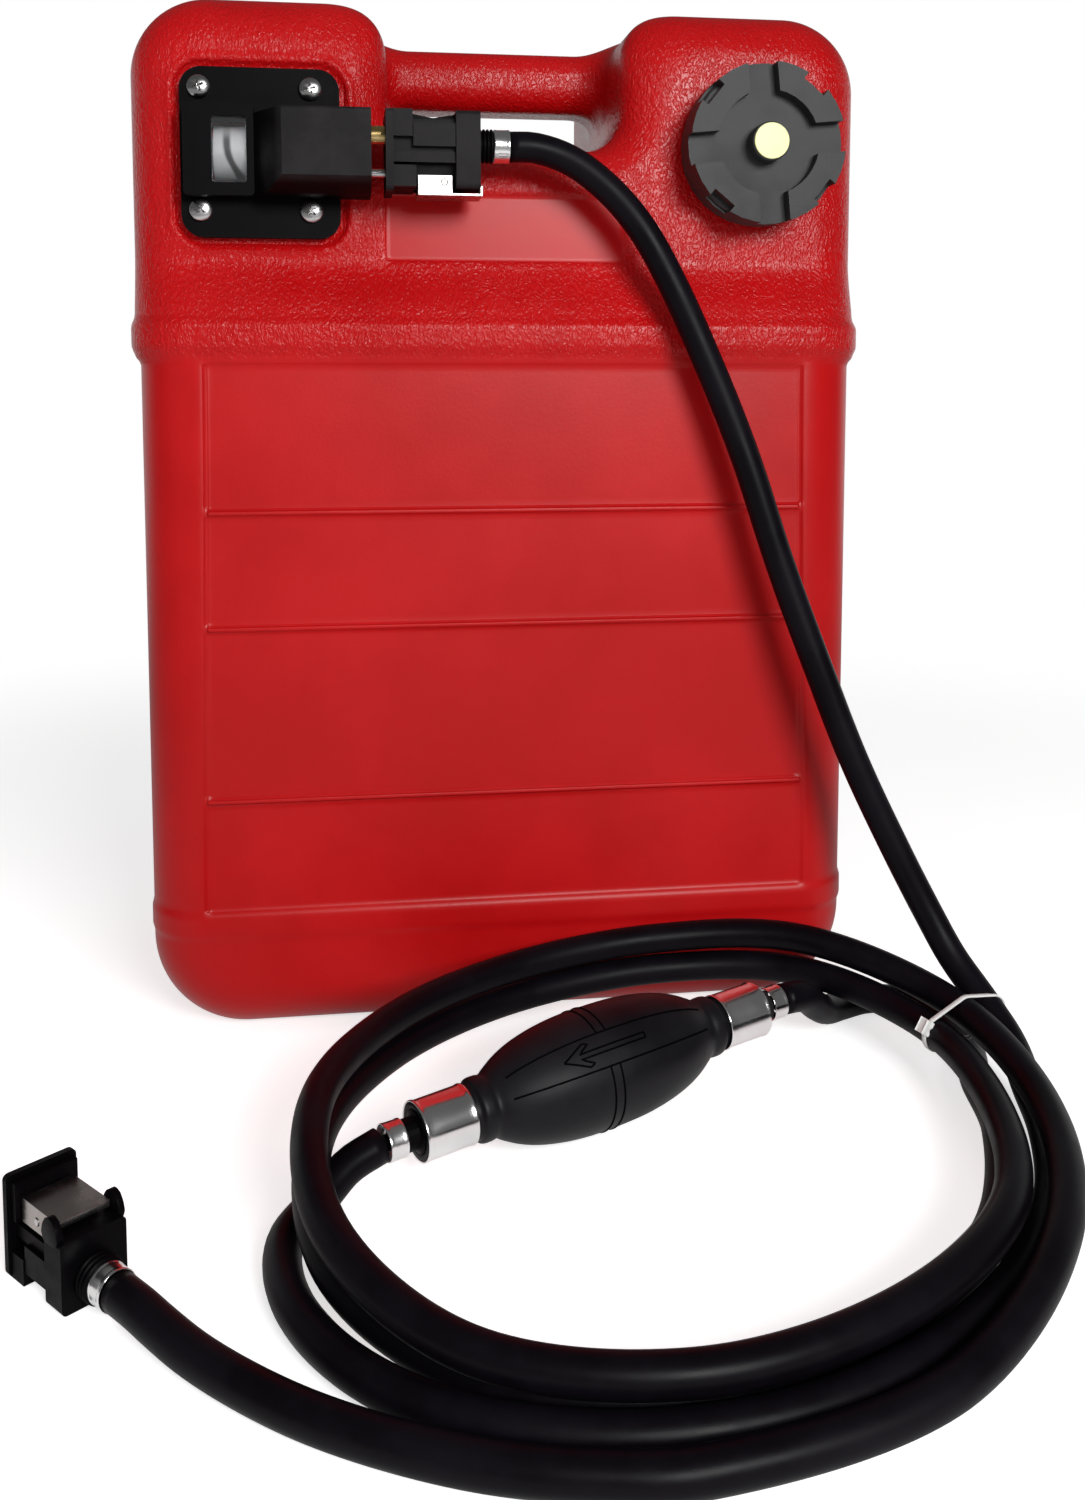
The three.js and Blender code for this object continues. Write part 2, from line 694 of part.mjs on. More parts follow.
function gaugeGasket() {
  const low = -pocketDepth + fit / 2;
  const holes = screwSpots().map(([x, z]) => solid(disc(
    screwShank + 2 * fit, low - over, low + plateGasketThick + over, 8).translate(x, 0, z)));
  return cut(
    solid(slab(plateShape(-fit), low, low + plateGasketThick)),
    solid(disc(seatBore, low - over, low + plateGasketThick + over, 24)), ...holes);
}

function gaugeScrew(name, x, z) {
  const face = -pocketDepth + plateGasketThick + fit + plateThick + fit / 2;
  const [head, shank] = [screwHead / 2, screwShank / 2];
  const screw = turned([
    [0, face + fit - screwLength], [shank, face - screwLength + shank], [shank, face], [head, face],
    [head, face + screwHeadHeight * 0.35], [head * 0.8, face + screwHeadHeight * 0.85],
    [head * 0.4, face + screwHeadHeight], [0, face + screwHeadHeight],
  ], 14);
  const mesh = piece(name, screw, brightSteel);
  mesh.position.set(x, 0, z);
  return mesh;
}

// Float, its bent wire arm and the drum that turns with it on the axle
function gaugeDrum() {
  const drum = solid(alongX(sleeve(
    axleDiameter + 2 * fit, drumDiameter, windowX - drumWidth / 2, windowX + drumWidth / 2, 24)));
  const hole = solid(disc(armWire + 2 * fit, -drumDiameter, -drumDiameter / 4, 8)
    .translate(windowX, 0, 0));
  return cut(drum, hole);
}

function floatArm() {
  const start = drumDiameter / 4 + fit;
  const bend = armWire * 2;
  const path = new THREE.CatmullRomCurve3([
    [start, 0], [armReach / 2, 0], [armReach - bend, 0], [armReach, -bend],
    [armReach, -armDrop / 2], [armReach, -armDrop],
  ].map(([y, z]) => new THREE.Vector3(windowX, y, z)), false, 'centripetal');
  const section = new THREE.Shape().absarc(0, 0, armWire / 2, 0, Math.PI * 2);
  return new THREE.ExtrudeGeometry(section, { steps: 24, extrudePath: path, curveSegments: 4 });
}

function floatBody() {
  const [radius, half] = [floatDiameter / 2, floatLength / 2];
  const body = solid(alongX(turned([
    [0, -half], [radius - floatChamfer, -half], [radius, floatChamfer - half],
    [radius, half - floatChamfer], [radius - floatChamfer, half], [0, half],
  ], 20)).translate(windowX, armReach, -armDrop));
  const hole = solid(alongZ(disc(armWire + 2 * fit, -fit, floatDiameter, 8))
    .translate(windowX, armReach, -armDrop));
  return cut(body, hole);
}

function gaugeUnit() {
  const low = -pocketDepth - fit;
  const cavity = drumWidth / 2 + drumRoom + earThick;
  const backWall = 2 * deckSetIn - tankDepth + wall;
  const strainerLow = backWall + fit;
  const strainerHigh = strainerLow + strainerLength;
  const [mouth, skin] = [pickupDiameter / 2 + fit, strainerDiameter / 2 - strainerWall];
  return placed([
    piece('gauge_housing', gaugeHousing(), blackPlastic),
    piece('gauge_window', gaugeWindow(), clearLens),
    piece('gauge_gasket', gaugeGasket(), blackRubber),
    ...screwSpots().map(([x, z], i) => gaugeScrew(`gauge_screw_${i + 1}`, x, z)),
    piece('gauge_axle', alongX(disc(
      axleDiameter, windowX - cavity + fit, windowX + cavity - fit, 12)), brightSteel),
    piece('gauge_drum', gaugeDrum(), whiteNylon),
    piece('float_arm', floatArm(), brightSteel),
    piece('float', floatBody(), floatFoam),
    piece('pickup_tube', sleeve(
      pickupBore, pickupDiameter, strainerLow + strainerLength / 2, low, 14)
      .translate(pickupX, 0, fuelPinZ), blackPlastic),
    piece('pickup_strainer', turned([
      [mouth, strainerHigh], [strainerDiameter / 2, strainerHigh], [strainerDiameter / 2, strainerLow],
      [0, strainerLow], [0, strainerLow + strainerWall], [skin, strainerLow + strainerWall],
      [skin, strainerHigh - strainerWall], [mouth, strainerHigh - strainerWall], [mouth, strainerHigh],
    ], 14).translate(pickupX, 0, fuelPinZ), brass),
    piece('fuel_pin', fuelPin(), brass),
    piece('locating_pin', locatingPin(), brightSteel),
  ], gaugeX, -(tankDepth / 2 - deckSetIn), gaugeZ);
}

// The two pins run from their holes in the outlet block into the connector
function pinTip() {
  return outletLeft + outletWidth + connectorGap + pinPlug;
}

function fuelPin() {
  const start = outletLeft + outletWidth - pinBury + fit;
  const [rim, bore] = [fuelPinDiameter / 2, lineBore / 2];
  return alongX(turned([
    [bore, start], [rim, start], [rim, pinTip() - chamfer], [rim - chamfer, pinTip()],
    [bore, pinTip()], [bore, start],
  ], 20)).translate(0, -pinStand, fuelPinZ);
}

function locatingPin() {
  const start = outletLeft + outletWidth - pinBury + fit;
  const rim = steelPinDiameter / 2;
  return alongX(turned([
    [0, start], [rim, start], [rim, pinTip()], [rim / 3, pinTip() + steelPinDiameter / 2],
    [0, pinTip() + steelPinDiameter / 2],
  ], 14)).translate(0, -pinStand, fuelPinZ - pinSpacing);
}

// Quick connector, along +X from its mating face to the hose. The two sockets lie one above the
// other, with the fuel socket on top and the latch below.
const socketZ = pinSpacing / 2;

const hoseAxisZ = socketZ - hoseDrop;

function connectorBody(plug) {
  const halfY = plug.width / 2;
  const keelY = latchWidth / 2 - latchSheet - fit;
  const tailStart = plug.length - tailThick;
  const faceEnd = plug.faceThick;
  const root = faceEnd - latchSheet;
  const flat = (y, low, high, left, right, radius) =>
    solid(bar(roundedRect(-y, -low, y, high, radius), left, right, 2));
  const face = flat(halfY, plug.faceLow, plug.high, 0, faceEnd, plugRound);
  const tail = flat(halfY - plugRound / 2, plug.tailLow, plug.high, tailStart, plug.length, plugRound);
  const core = flat(halfY - keelSetIn, keelTop, plug.high - sideSetIn, root, tailStart + fit, plugRound / 2);
  const keel = flat(keelY, plug.keelLow, 0, root, tailStart + fit, plugRound / 2);
  const block = (left, right, low, high, stand) => solid(box(left, right, -stand, stand, low, high));
  const blockEnd = Math.min(faceEnd + blockLength, plug.latchStart - 2 * fit);
  const railStart = faceEnd + blockLength - blockStep;
  const railTop = plug.high - plug.high / 3;
  const blocks = [
    block(root, railStart, plug.high / 3, plug.high, halfY - plugRound / 2),
    block(root, blockEnd, -plug.faceLow + plugRound, -keelTop - blockStep, halfY - sideSetIn / 2),
    block(railStart + fit, tailStart - fit, railTop - blockLength, railTop, halfY - sideSetIn / 2),
    block(root, tailStart + fit, -keelTop, -fit, halfY - sideSetIn),
  ];
  const clipLeft = railStart + fit;
  const clipMid = (clipLeft + tailStart) / 2;
  const [clipTop, clipDip] = [plug.high - fit, plug.high - plugRound];
  const clip = solid(slab(outline([
    [clipLeft, clipTop], [clipMid, clipDip], [tailStart, clipTop], [tailStart, clipDip - plugRound],
    [clipLeft, clipDip - plugRound],
  ]), -keelY / 2, keelY / 2));
  const lift = (geometry) => solid(geometry.translate(0, 0, hoseAxisZ));
  const collarEnd = plug.length + collarLength;
  const collar = lift(alongX(disc(collarDiameter, plug.length - fit, collarEnd, 18)));
  const barbEnd = collarEnd + crimpLength - fit;
  const barb = lift(alongX(disc(barbDiameter, collarEnd - fit, barbEnd, 12)));
  const bore = (size, from, to, z, sides) => solid(alongX(disc(size, from, to, sides)).translate(0, 0, z));
  const chamberEnd = pinPlug + chamberLength + plungerTravel;
  const [pinX, pinZ] = [plug.pivot, -plug.pivotLow];
  const pinHole = disc(latchPinDiameter + 2 * fit, -halfY, halfY, 10).translate(pinX, 0, pinZ);
  const catchSide = catchWidth / 2 + 2 * fit;
  const catchRoom = latchSheet + fit;
  const catchSlot = box(plug.latchStart - catchRoom, plug.latchStart + latchSheet + catchRoom,
    -catchSide, catchSide, -plug.keelLow - over, -socketZ);
  const link = box(chamberEnd - fit, plug.length - lineBore, -lineBore / 2, lineBore / 2,
    hoseAxisZ - lineBore / 2, socketZ + lineBore / 2);
  return cut(
    join(face, tail, core, keel, ...blocks, clip, collar, barb),
    bore(fuelPinDiameter + 2 * fit, -over, socketDepth, socketZ, 16),
    bore(chamberDiameter, pinPlug - chamberLead, chamberEnd, socketZ, 16),
    bore(fuelPinDiameter + 4 * fit + 2 * ringWire, faceEnd, faceEnd + ringWire + 2 * fit, socketZ, 16),
    bore(steelPinDiameter + 3 * fit, -over, socketDepth, -socketZ, 12),
    bore(lineBore, plug.length - 2 * lineBore, barbEnd + over, hoseAxisZ, 10),
    solid(link), solid(catchSlot), solid(pinHole));
}

// Sprung metal latch: a plate over the body with two cheeks, a catch at its front and a turned lip
function latchPlate(plug) {
  const low = -plug.latchLow;
  const left = plug.latchStart;
  const right = left + plug.latchLength;
  const half = latchWidth / 2;
  const block = (x0, x1, y0, y1, z0, z1) => solid(box(x0, x1, y0, y1, z0, z1));
  const plate = block(left, right, -half, half, low, low + latchSheet);
  const lip = block(right - latchSheet, right, -half, half, low, low + plug.latchLip);
  const cheekEnd = Math.min(left + latchCheekLength, right);
  const cheeks = [-1, 1].map((side) => block(
    left, cheekEnd, side * half, side * (half - latchSheet), low, low + latchCheek));
  const catchTop = -socketZ - steelPinDiameter / 2 - fit;
  const catchPlate = block(left, left + latchSheet, -catchWidth / 2, catchWidth / 2, low, catchTop);
  const hole = disc(latchPinDiameter + 2 * fit, -plug.width, plug.width, 10);
  return cut(join(plate, lip, ...cheeks, catchPlate), solid(hole.translate(plug.pivot, 0, -plug.pivotLow)));
}

// A round wire wound on the X axis, with flat closed ends
function coilSpring(diameter, wire, turns, start, length) {
  const [steps, sides] = [8, 5];
  const radius = (diameter - wire) / 2;
  const rings = [];
  for (let i = 0; i <= turns * steps; i++) {
    const angle = i / steps * Math.PI * 2;
    const x = start + wire / 2 + (length - wire) * i / (turns * steps);
    rings.push(Array.from({ length: sides }, (unused, k) => {
      const around = k / sides * Math.PI * 2;
      const reach = radius + wire / 2 * Math.cos(around);
      return [x + wire / 2 * Math.sin(around), reach * Math.cos(angle), reach * Math.sin(angle)];
    }));
  }
  return loft(rings);
}

function sealRing(diameter, wire, start) {
  const [bore, outer] = [diameter / 2, diameter / 2 + wire];
  const [low, high, mid] = [start, start + wire, start + wire / 2];
  return alongX(turned([
    [bore, mid], [bore + wire / 4, low], [outer - wire / 4, low], [outer, mid],
    [outer - wire / 4, high], [bore + wire / 4, high], [bore, mid],
  ], 14));
}

function connector(prefix, plug, plunged) {
  const plungerStart = (plunged ? pinPlug : pinPlug - plungerTravel) + fit;
  const plungerEnd = plungerStart + plungerLength;
  const springEnd = pinPlug + chamberLength + plungerTravel - fit;
  const crimpStart = plug.length + collarLength + fit / 2;
  const pinHalf = latchWidth / 2 + fit;
  const latchRoom = plug.latchLow - latchSheet - plug.keelLow;
  const springX = plug.pivot + (plug.latchStart + plug.latchLength - plug.pivot) / 3;
  return [
    piece(`${prefix}_connector`, connectorBody(plug), blackPlastic),
    piece(`${prefix}_latch`, latchPlate(plug), brightSteel),
    piece(`${prefix}_latch_pin`, disc(latchPinDiameter, -pinHalf, pinHalf, 10)
      .translate(plug.pivot, 0, -plug.pivotLow), brightSteel),
    piece(`${prefix}_latch_spring`, coilSpring(
      latchSpringDiameter, latchSpringWire, latchSpringTurns, 0, latchRoom - fit)
      .rotateY(Math.PI / 2).translate(springX, 0, -plug.keelLow - fit / 2), brightSteel),
    piece(`${prefix}_check_plunger`, alongX(turned([
      [0, plungerStart], [plungerDiameter / 2 - chamfer, plungerStart],
      [plungerDiameter / 2, plungerStart + chamfer],
      [plungerDiameter / 2, plungerEnd], [0, plungerEnd],
    ], 14)).translate(0, 0, socketZ), blackPlastic),
    piece(`${prefix}_check_spring`, coilSpring(
      checkSpringDiameter, springWire, springTurns, plungerEnd + fit, springEnd - plungerEnd - fit)
      .translate(0, 0, socketZ), brightSteel),
    piece(`${prefix}_seal_ring`, sealRing(fuelPinDiameter + 2 * fit, ringWire, plug.faceThick + fit)
      .translate(0, 0, socketZ), blackRubber),
    piece(`${prefix}_hose_crimp`, alongX(sleeve(
      barbDiameter + 2 * fit, crimpDiameter, crimpStart, crimpStart + crimpLength - fit, 20))
      .translate(0, 0, hoseAxisZ), brightSteel),
  ];
}

// Primer bulb, turned about its own axis and laid between its two ends
function bulbLength() {
  return new THREE.Vector3(...bulbStart).distanceTo(new THREE.Vector3(...bulbEnd));
}

function bulbProfile(inset) {
  const neck = bulbNeck / 2 - inset;
  const belly = bulbDiameter / 2 - inset;
  const start = bulbOffset;
  const length = bulbLength() - 2 * bulbOffset;
  const swellShares = [[0, 0], [0.12, 0.2], [0.28, 0.6], [0.45, 0.86], [0.68, 1], [1, 1]];
  const rise = bulbNeckLength;
  const flank = length / 2 - rise;
  const half = swellShares.map(([alongShare, radiusShare]) =>
    [neck + (belly - neck) * radiusShare, rise + flank * alongShare]);
  const points = [[neck, 0], ...half];
  const mirrored = points.slice(0, -1).reverse().map(([radius, at]) => [radius, length - at]);
  return [...points, ...mirrored].map(([radius, at]) => [radius, start + at]);
}

function bulbBody() {
  const outer = bulbProfile(0);
  const bore = valveDiameter / 2 + fit;
  const inner = bulbProfile(bulbWall).map(([radius, at]) => [Math.max(radius, bore), at]);
  return turned([...outer, ...inner.reverse(), outer[0]], 20);
}

function bulbValve(flowOut) {
  const body = valveDiameter / 2;
  const lead = crimpLength / 2 + fit;
  const seat = bulbOffset + valveSeat;
  const stop = seat + discThick + discTravel + 2 * fit;
  const [line, bore] = [lineBore / 2, valveBore / 2];
  const chamber = flowOut
    ? [[bore, seat], [bore, stop], [line, stop]]
    : [[line, seat], [bore, seat], [bore, stop], [line * 1.5, stop]];
  const end = bulbOffset + valveLength;
  const neckEnd = bulbOffset - chamfer;
  const inner = [[line, -crimpLength / 2], ...(flowOut ? [[line, seat]] : []), ...chamber];
  const last = inner[inner.length - 1][0];
  return turned([
    ...inner, [last, end], [body, end], [body, bulbOffset - fit], [collarDiameter / 2, neckEnd],
    [collarDiameter / 2, lead], [barbDiameter / 2, lead], [barbDiameter / 2, -crimpLength / 2],
    [line, -crimpLength / 2],
  ], 20);
}

function primerBulb() {
  const start = new THREE.Vector3(...bulbStart);
  const along = new THREE.Vector3(...bulbEnd).sub(start);
  const length = along.length();
  const bandStart = bandGap;
  const seat = bulbOffset + valveSeat + fit;
  const crimp = () => sleeve(barbDiameter + 2 * fit, crimpDiameter, -crimpLength / 2, crimpLength / 2, 24);
  const band = () => {
    const [inner, outer] = [bulbNeck / 2 + fit, bandDiameter / 2];
    return turned([
      [inner, bandStart], [outer - bandRoll, bandStart], [outer, bandStart + chamfer],
      [outer, bandStart + bandLength - chamfer], [outer - bandRoll, bandStart + bandLength],
      [inner, bandStart + bandLength], [inner, bandStart],
    ], 28);
  };
  const far = (geometry) => geometry.rotateX(Math.PI).translate(0, -length, 0);
  const check = () => disc(discDiameter, seat, seat + discThick, 14);
  const checkFar = () => disc(
    discDiameter, seat + discTravel, seat + discTravel + discThick, 14);
  const group = placed([
    piece('primer_bulb', bulbBody(), blackRubber),
    piece('bulb_tank_side_crimp', crimp(), brightSteel),
    piece('bulb_engine_side_crimp', far(crimp()), brightSteel),
    piece('bulb_tank_side_band', band(), brightSteel),
    piece('bulb_engine_side_band', far(band()), brightSteel),
    piece('bulb_tank_side_valve', bulbValve(false), blackPlastic),
    piece('bulb_engine_side_valve', far(bulbValve(true)), blackPlastic),
    piece('bulb_tank_side_check_disc', check(), brass),
    piece('bulb_engine_side_check_disc', far(checkFar()), brass),
  ], ...bulbStart);
  group.quaternion.setFromUnitVectors(new THREE.Vector3(0, -1, 0), along.normalize());
  return group;
}

// Hose routes: one curve from the tank's connector to the bulb, and one from the bulb through the
// coil to the engine's connector
class Stretch extends THREE.Curve {
  constructor(whole, from, to) {
    super();
    Object.assign(this, { whole, from, to });
  }

  getPoint(share, target) {
    return this.whole.getPoint(this.from + (this.to - this.from) * share, target);
  }
}

function throughPoints(points) {
  const spots = points.map((point) => new THREE.Vector3(...point));
  return new THREE.CatmullRomCurve3(spots, false, 'centripetal');
}

function coilStation(index) {
  const angle = coilStart - index * coilStep;
  const reach = coilReachShares[index] * hosePitch;
  const along = (coilLong / 2 + reach) * Math.cos(angle);
  const across = (coilShort / 2 + reach) * Math.sin(angle);
  return [
    coilMidX + along * Math.cos(coilTurn) - across * Math.sin(coilTurn),
    coilMidY + along * Math.sin(coilTurn) + across * Math.cos(coilTurn),
    hoseRestZ + coilLiftShares[index] * hosePitch,
  ];
}

function hoseTube(stretch, stepShare) {
  const section = new THREE.Shape(Array.from({ length: hoseSides }, (unused, i) => {
    const angle = i / hoseSides * Math.PI * 2;
    return new THREE.Vector2(hoseDiameter / 2 * Math.cos(angle), hoseDiameter / 2 * Math.sin(angle));
  }));
  const steps = Math.round(stretch.getLength() / (stepShare * hoseDiameter));
  return new THREE.ExtrudeGeometry(section, { steps, extrudePath: stretch });
}

// One unbroken tube through the coil's stations, with level rings
function coilTube(stretch, steps) {
  const up = new THREE.Vector3(0, 0, 1);
  const rings = Array.from({ length: steps + 1 }, (unused, i) => {
    const middle = stretch.getPoint(i / steps);
    const ahead = stretch.getTangent(i / steps);
    const side = new THREE.Vector3().crossVectors(ahead, up).normalize();
    const rise = new THREE.Vector3().crossVectors(side, ahead);
    return Array.from({ length: coilSides }, (unused2, k) => {
      const around = (k + 0.5) / coilSides * Math.PI * 2;
      return middle.clone()
        .addScaledVector(side, hoseDiameter / 2 * Math.cos(around))
        .addScaledVector(rise, hoseDiameter / 2 * Math.sin(around)).toArray();
    });
  });
  return loft(rings);
}

// The least gap of a strand to itself, measured between points of its middle line
function leastGap(stretch) {
  const count = 600;
  const points = stretch.getSpacedPoints(count);
  const apart = Math.ceil(coilShort / (stretch.getLength() / count));
  let least = Infinity;
  points.forEach((point, i) => {
    for (let k = i + apart; k <= count; k++) {
      least = Math.min(least, point.distanceTo(points[k]));
    }
  });
  return least - hoseDiameter;
}

// Where the hose leaves the tank's connector
function leadStart() {
  const [x, y, z] = tankConnectorPlace();
  return [x + tankPlug.length + collarLength + crimpLength + fit, y, z + hoseAxisZ];
}

// The written route, carried along with its start by the share of each point's height over its end
function tankLeadPoints() {
  const [start, first, last] = [leadStart(), tankLeadRoute[0], tankLeadRoute[tankLeadRoute.length - 1]];
  return tankLeadRoute.map((point) => {
    const share = Math.max((point[2] - last[2]) / (first[2] - last[2]), 0);
    return point.map((value, axis) => value + (start[axis] - first[axis]) * share);
  });
}

function hoses() {
  const tankLead = throughPoints(tankLeadPoints());
  const stations = coilReachShares.map((unused, i) => coilStation(i));
  const rest = throughPoints([...bulbLeadRoute, ...stations, ...engineLeadRoute]);
  const spans = rest.points.length - 1;
  const coilFrom = bulbLeadRoute.length / spans;
  const coilTo = (bulbLeadRoute.length + stations.length - 1) / spans;
  const nick = fit / rest.getLength();
  const coil = new Stretch(rest, coilFrom, coilTo);
  console.log(`least gap between the coil's strands ${leastGap(coil).toFixed(2)} mm`);
  const steps = (stations.length - 1) * coilStepsPerStation;
  const bulbLead = new Stretch(rest, 0, coilFrom - nick);
  const engineLead = new Stretch(rest, coilTo + nick, 1);
  const tie = placed([piece('cable_tie', cableTie([tankLead, rest]), whiteNylon)], tieX, tieY, 0);
  tie.rotation.z = tieTurn;
  return [
    piece('hose_tank_lead', hoseTube(tankLead, hoseStepShares.tankLead), blackRubber),
    piece('hose_bulb_lead', hoseTube(bulbLead, hoseStepShares.bulbLead), blackRubber),
    piece('hose_coil', coilTube(coil, steps), blackRubber),
    piece('hose_engine_lead', hoseTube(engineLead, hoseStepShares.engineLead), blackRubber),
    tie,
  ];
}

// Where a hose's middle line crosses the tie's plane, as a place across the bundle and a height
function crossings(curve) {
  const count = 1200;
  const points = curve.getPoints(count);
  const ahead = new THREE.Vector3(-Math.sin(tieTurn), Math.cos(tieTurn), 0);
  const across = new THREE.Vector3(Math.cos(tieTurn), Math.sin(tieTurn), 0);
  const local = points.map((point) => point.clone().sub(new THREE.Vector3(tieX, tieY, 0)));
  return local.slice(1).flatMap((point, i) => {
    const [before, after] = [local[i].dot(ahead), point.dot(ahead)];
    const near = point.length() < tieReach;
    return before * after < 0 && near ? [[point.dot(across), point.z]] : [];
  }).filter(([, height]) => height > hoseDiameter);
}

// The tight outline round a set of points, anticlockwise
function hull(points) {
  const sorted = [...points].sort((p, q) => p[0] - q[0] || p[1] - q[1]);
  const half = (list) => {
    const chain = [];
    for (const p of list) {
      while (chain.length > 1) {
        const [[ax, ay], [bx, by]] = chain.slice(-2);
        if ((bx - ax) * (p[1] - ay) - (by - ay) * (p[0] - ax) > 0) break;
        chain.pop();
      }
      chain.push(p);
    }
    return chain.slice(0, -1);
  };
  return [...half(sorted), ...half(sorted.reverse())];
}

// The cable tie: a thin band drawn round the strands that cross it, with its head on the inner side
function cableTie(curves) {
  const strands = curves.flatMap((curve) => crossings(curve));
  const around = (radius) => hull(strands.flatMap(([across, height]) =>
    Array.from({ length: tieSides }, (unused, i) => {
      const angle = i / tieSides * Math.PI * 2;
      return [across + radius * Math.cos(angle), height + radius * Math.sin(angle)];
    })));
  const inner = hoseDiameter / 2 + tieSlack;
  const half = tieBand / 2;
  const band = cut(
    solid(slab(outline(around(inner + tieThick)), -half, half)),
    solid(slab(outline(around(inner)), -half - over, half + over)));
  const innermost = strands.reduce((best, strand) => (strand[0] < best[0] ? strand : best));
  const headAngle = Math.PI * tieHeadShare;
  const head = box(0, tieHead, -tieHead / 2, tieHead / 2, -tieHead / 2, tieHead / 2)
    .rotateY(-headAngle)
    .translate(
      innermost[0] + (inner + tieThick / 2) * Math.cos(headAngle), 0,
      innermost[1] + (inner + tieThick / 2) * Math.sin(headAngle));
  return join(band, solid(head));
}

function engineConnector() {
  const group = placed(connector('engine', enginePlug, false), engineX, engineY, enginePlug.high + fit);
  group.rotation.set(Math.PI, 0, engineTurn, 'ZYX');
  return group;
}

function tankConnectorPlace() {
  const x = gaugeX + outletLeft + outletWidth + connectorGap;
  const y = -(tankDepth / 2 - deckSetIn) - pinStand;
  return [x, y, gaugeZ + fuelPinZ - pinSpacing / 2];
}

function tankConnector() {
  return placed(connector('tank', tankPlug, true), ...tankConnectorPlace());
}

const model = new THREE.Group();
model.add(
  piece('tank_body', tankBody(), redShell),
  capUnit(),
  gaugeUnit(),
  tankConnector(),
  primerBulb(),
  ...hoses(),
  engineConnector(),
);

export default model;
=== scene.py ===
# %% [markdown]
# A portable fuel tank for an outboard motor, dressed for a studio picture. The solids come from the
# CAD model and stay where they are. This file gives them their finishes, and builds finer versions
# of the pieces whose shape shows most: the blow-moulded tank, the hoses, the primer bulb and the
# small metal fittings. Everything is in metres, in the frame of the CAD model.

# %% Load the frame
import json
import math

import bmesh
import bpy
import numpy as np
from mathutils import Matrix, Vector

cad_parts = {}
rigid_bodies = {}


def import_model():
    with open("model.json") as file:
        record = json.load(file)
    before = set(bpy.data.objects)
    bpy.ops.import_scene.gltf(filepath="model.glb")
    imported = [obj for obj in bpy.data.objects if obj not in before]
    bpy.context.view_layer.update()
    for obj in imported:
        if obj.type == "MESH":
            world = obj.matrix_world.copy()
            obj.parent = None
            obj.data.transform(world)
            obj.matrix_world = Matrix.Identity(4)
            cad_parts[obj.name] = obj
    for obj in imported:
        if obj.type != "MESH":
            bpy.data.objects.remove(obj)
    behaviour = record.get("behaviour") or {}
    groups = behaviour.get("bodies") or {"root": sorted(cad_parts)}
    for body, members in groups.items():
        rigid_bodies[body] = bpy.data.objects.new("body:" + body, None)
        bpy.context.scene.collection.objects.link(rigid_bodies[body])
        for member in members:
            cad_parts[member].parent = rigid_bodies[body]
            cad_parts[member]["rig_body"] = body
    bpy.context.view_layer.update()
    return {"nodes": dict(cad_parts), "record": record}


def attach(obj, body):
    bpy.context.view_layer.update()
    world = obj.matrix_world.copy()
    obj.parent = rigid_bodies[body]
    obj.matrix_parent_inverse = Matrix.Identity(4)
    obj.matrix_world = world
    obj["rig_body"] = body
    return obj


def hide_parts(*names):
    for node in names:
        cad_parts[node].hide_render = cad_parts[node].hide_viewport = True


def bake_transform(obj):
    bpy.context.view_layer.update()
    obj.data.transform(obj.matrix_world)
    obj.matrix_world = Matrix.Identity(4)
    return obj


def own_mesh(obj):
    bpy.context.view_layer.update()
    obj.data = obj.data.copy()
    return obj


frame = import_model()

MM = 0.001
nodes = frame["nodes"]

# %% [markdown]
# The camera stands a little left of the tank's middle and just above its half height, turned eight
# degrees to the right and five down. These values come from fitting straight edges in the photo. The
# vertical shift keeps the tank's sides nearly upright, as a lens held level does.

# %% Camera
CAMERA_PLACE = (-0.0825, -0.7734, 0.3137)
CAMERA_YAW = math.radians(8.15)
CAMERA_PITCH = math.radians(5.21)
FOCAL_PIXELS = 1448
FRAME_HEIGHT = 1500
AXIS_HEIGHT = 512
SENSOR = 36


def make_camera():
    """The photo's camera: place, direction, lens and the vertical shift of its frame."""
    data = bpy.data.cameras.new("camera")
    data.sensor_width = SENSOR
    data.lens = SENSOR * FOCAL_PIXELS / FRAME_HEIGHT
    data.shift_y = (AXIS_HEIGHT - FRAME_HEIGHT / 2) / FRAME_HEIGHT
    camera = bpy.data.objects.new("camera", data)
    bpy.context.scene.collection.objects.link(camera)
    ahead = Vector((
        math.sin(CAMERA_YAW) * math.cos(CAMERA_PITCH),
        math.cos(CAMERA_YAW) * math.cos(CAMERA_PITCH),
        -math.sin(CAMERA_PITCH)))
    camera.location = CAMERA_PLACE
    camera.rotation_euler = ahead.to_track_quat("-Z", "Y").to_euler()
    bpy.context.scene.camera = camera
    return camera


camera = make_camera()
print(f"camera lens {camera.data.lens:.2f} mm, shift {camera.data.shift_y:.3f}")

# %% [markdown]
# Finishes come before shapes, so that each piece can take its material as it is made. Effects that
# several finishes share are node groups: a pebbled leather grain for the moulded shell, a fine
# random roughness like that of a spark-eroded mould, and faint smudges of handling. Each group puts
# out a plain value, which every material scales in its own way.

# %% Node helpers


def new_group(name, inputs):
    """An empty node group with float inputs, a place to sample, and one float output."""
    group = bpy.data.node_groups.new(name, "ShaderNodeTree")
    for label, value in inputs:
        socket = group.interface.new_socket(label, in_out="INPUT", socket_type="NodeSocketFloat")
        socket.default_value = value
    group.interface.new_socket("Value", in_out="OUTPUT", socket_type="NodeSocketFloat")
    start = group.nodes.new("NodeGroupInput")
    end = group.nodes.new("NodeGroupOutput")
    place = group.nodes.new("ShaderNodeTexCoord")
    return group, start, end, place.outputs["Object"]


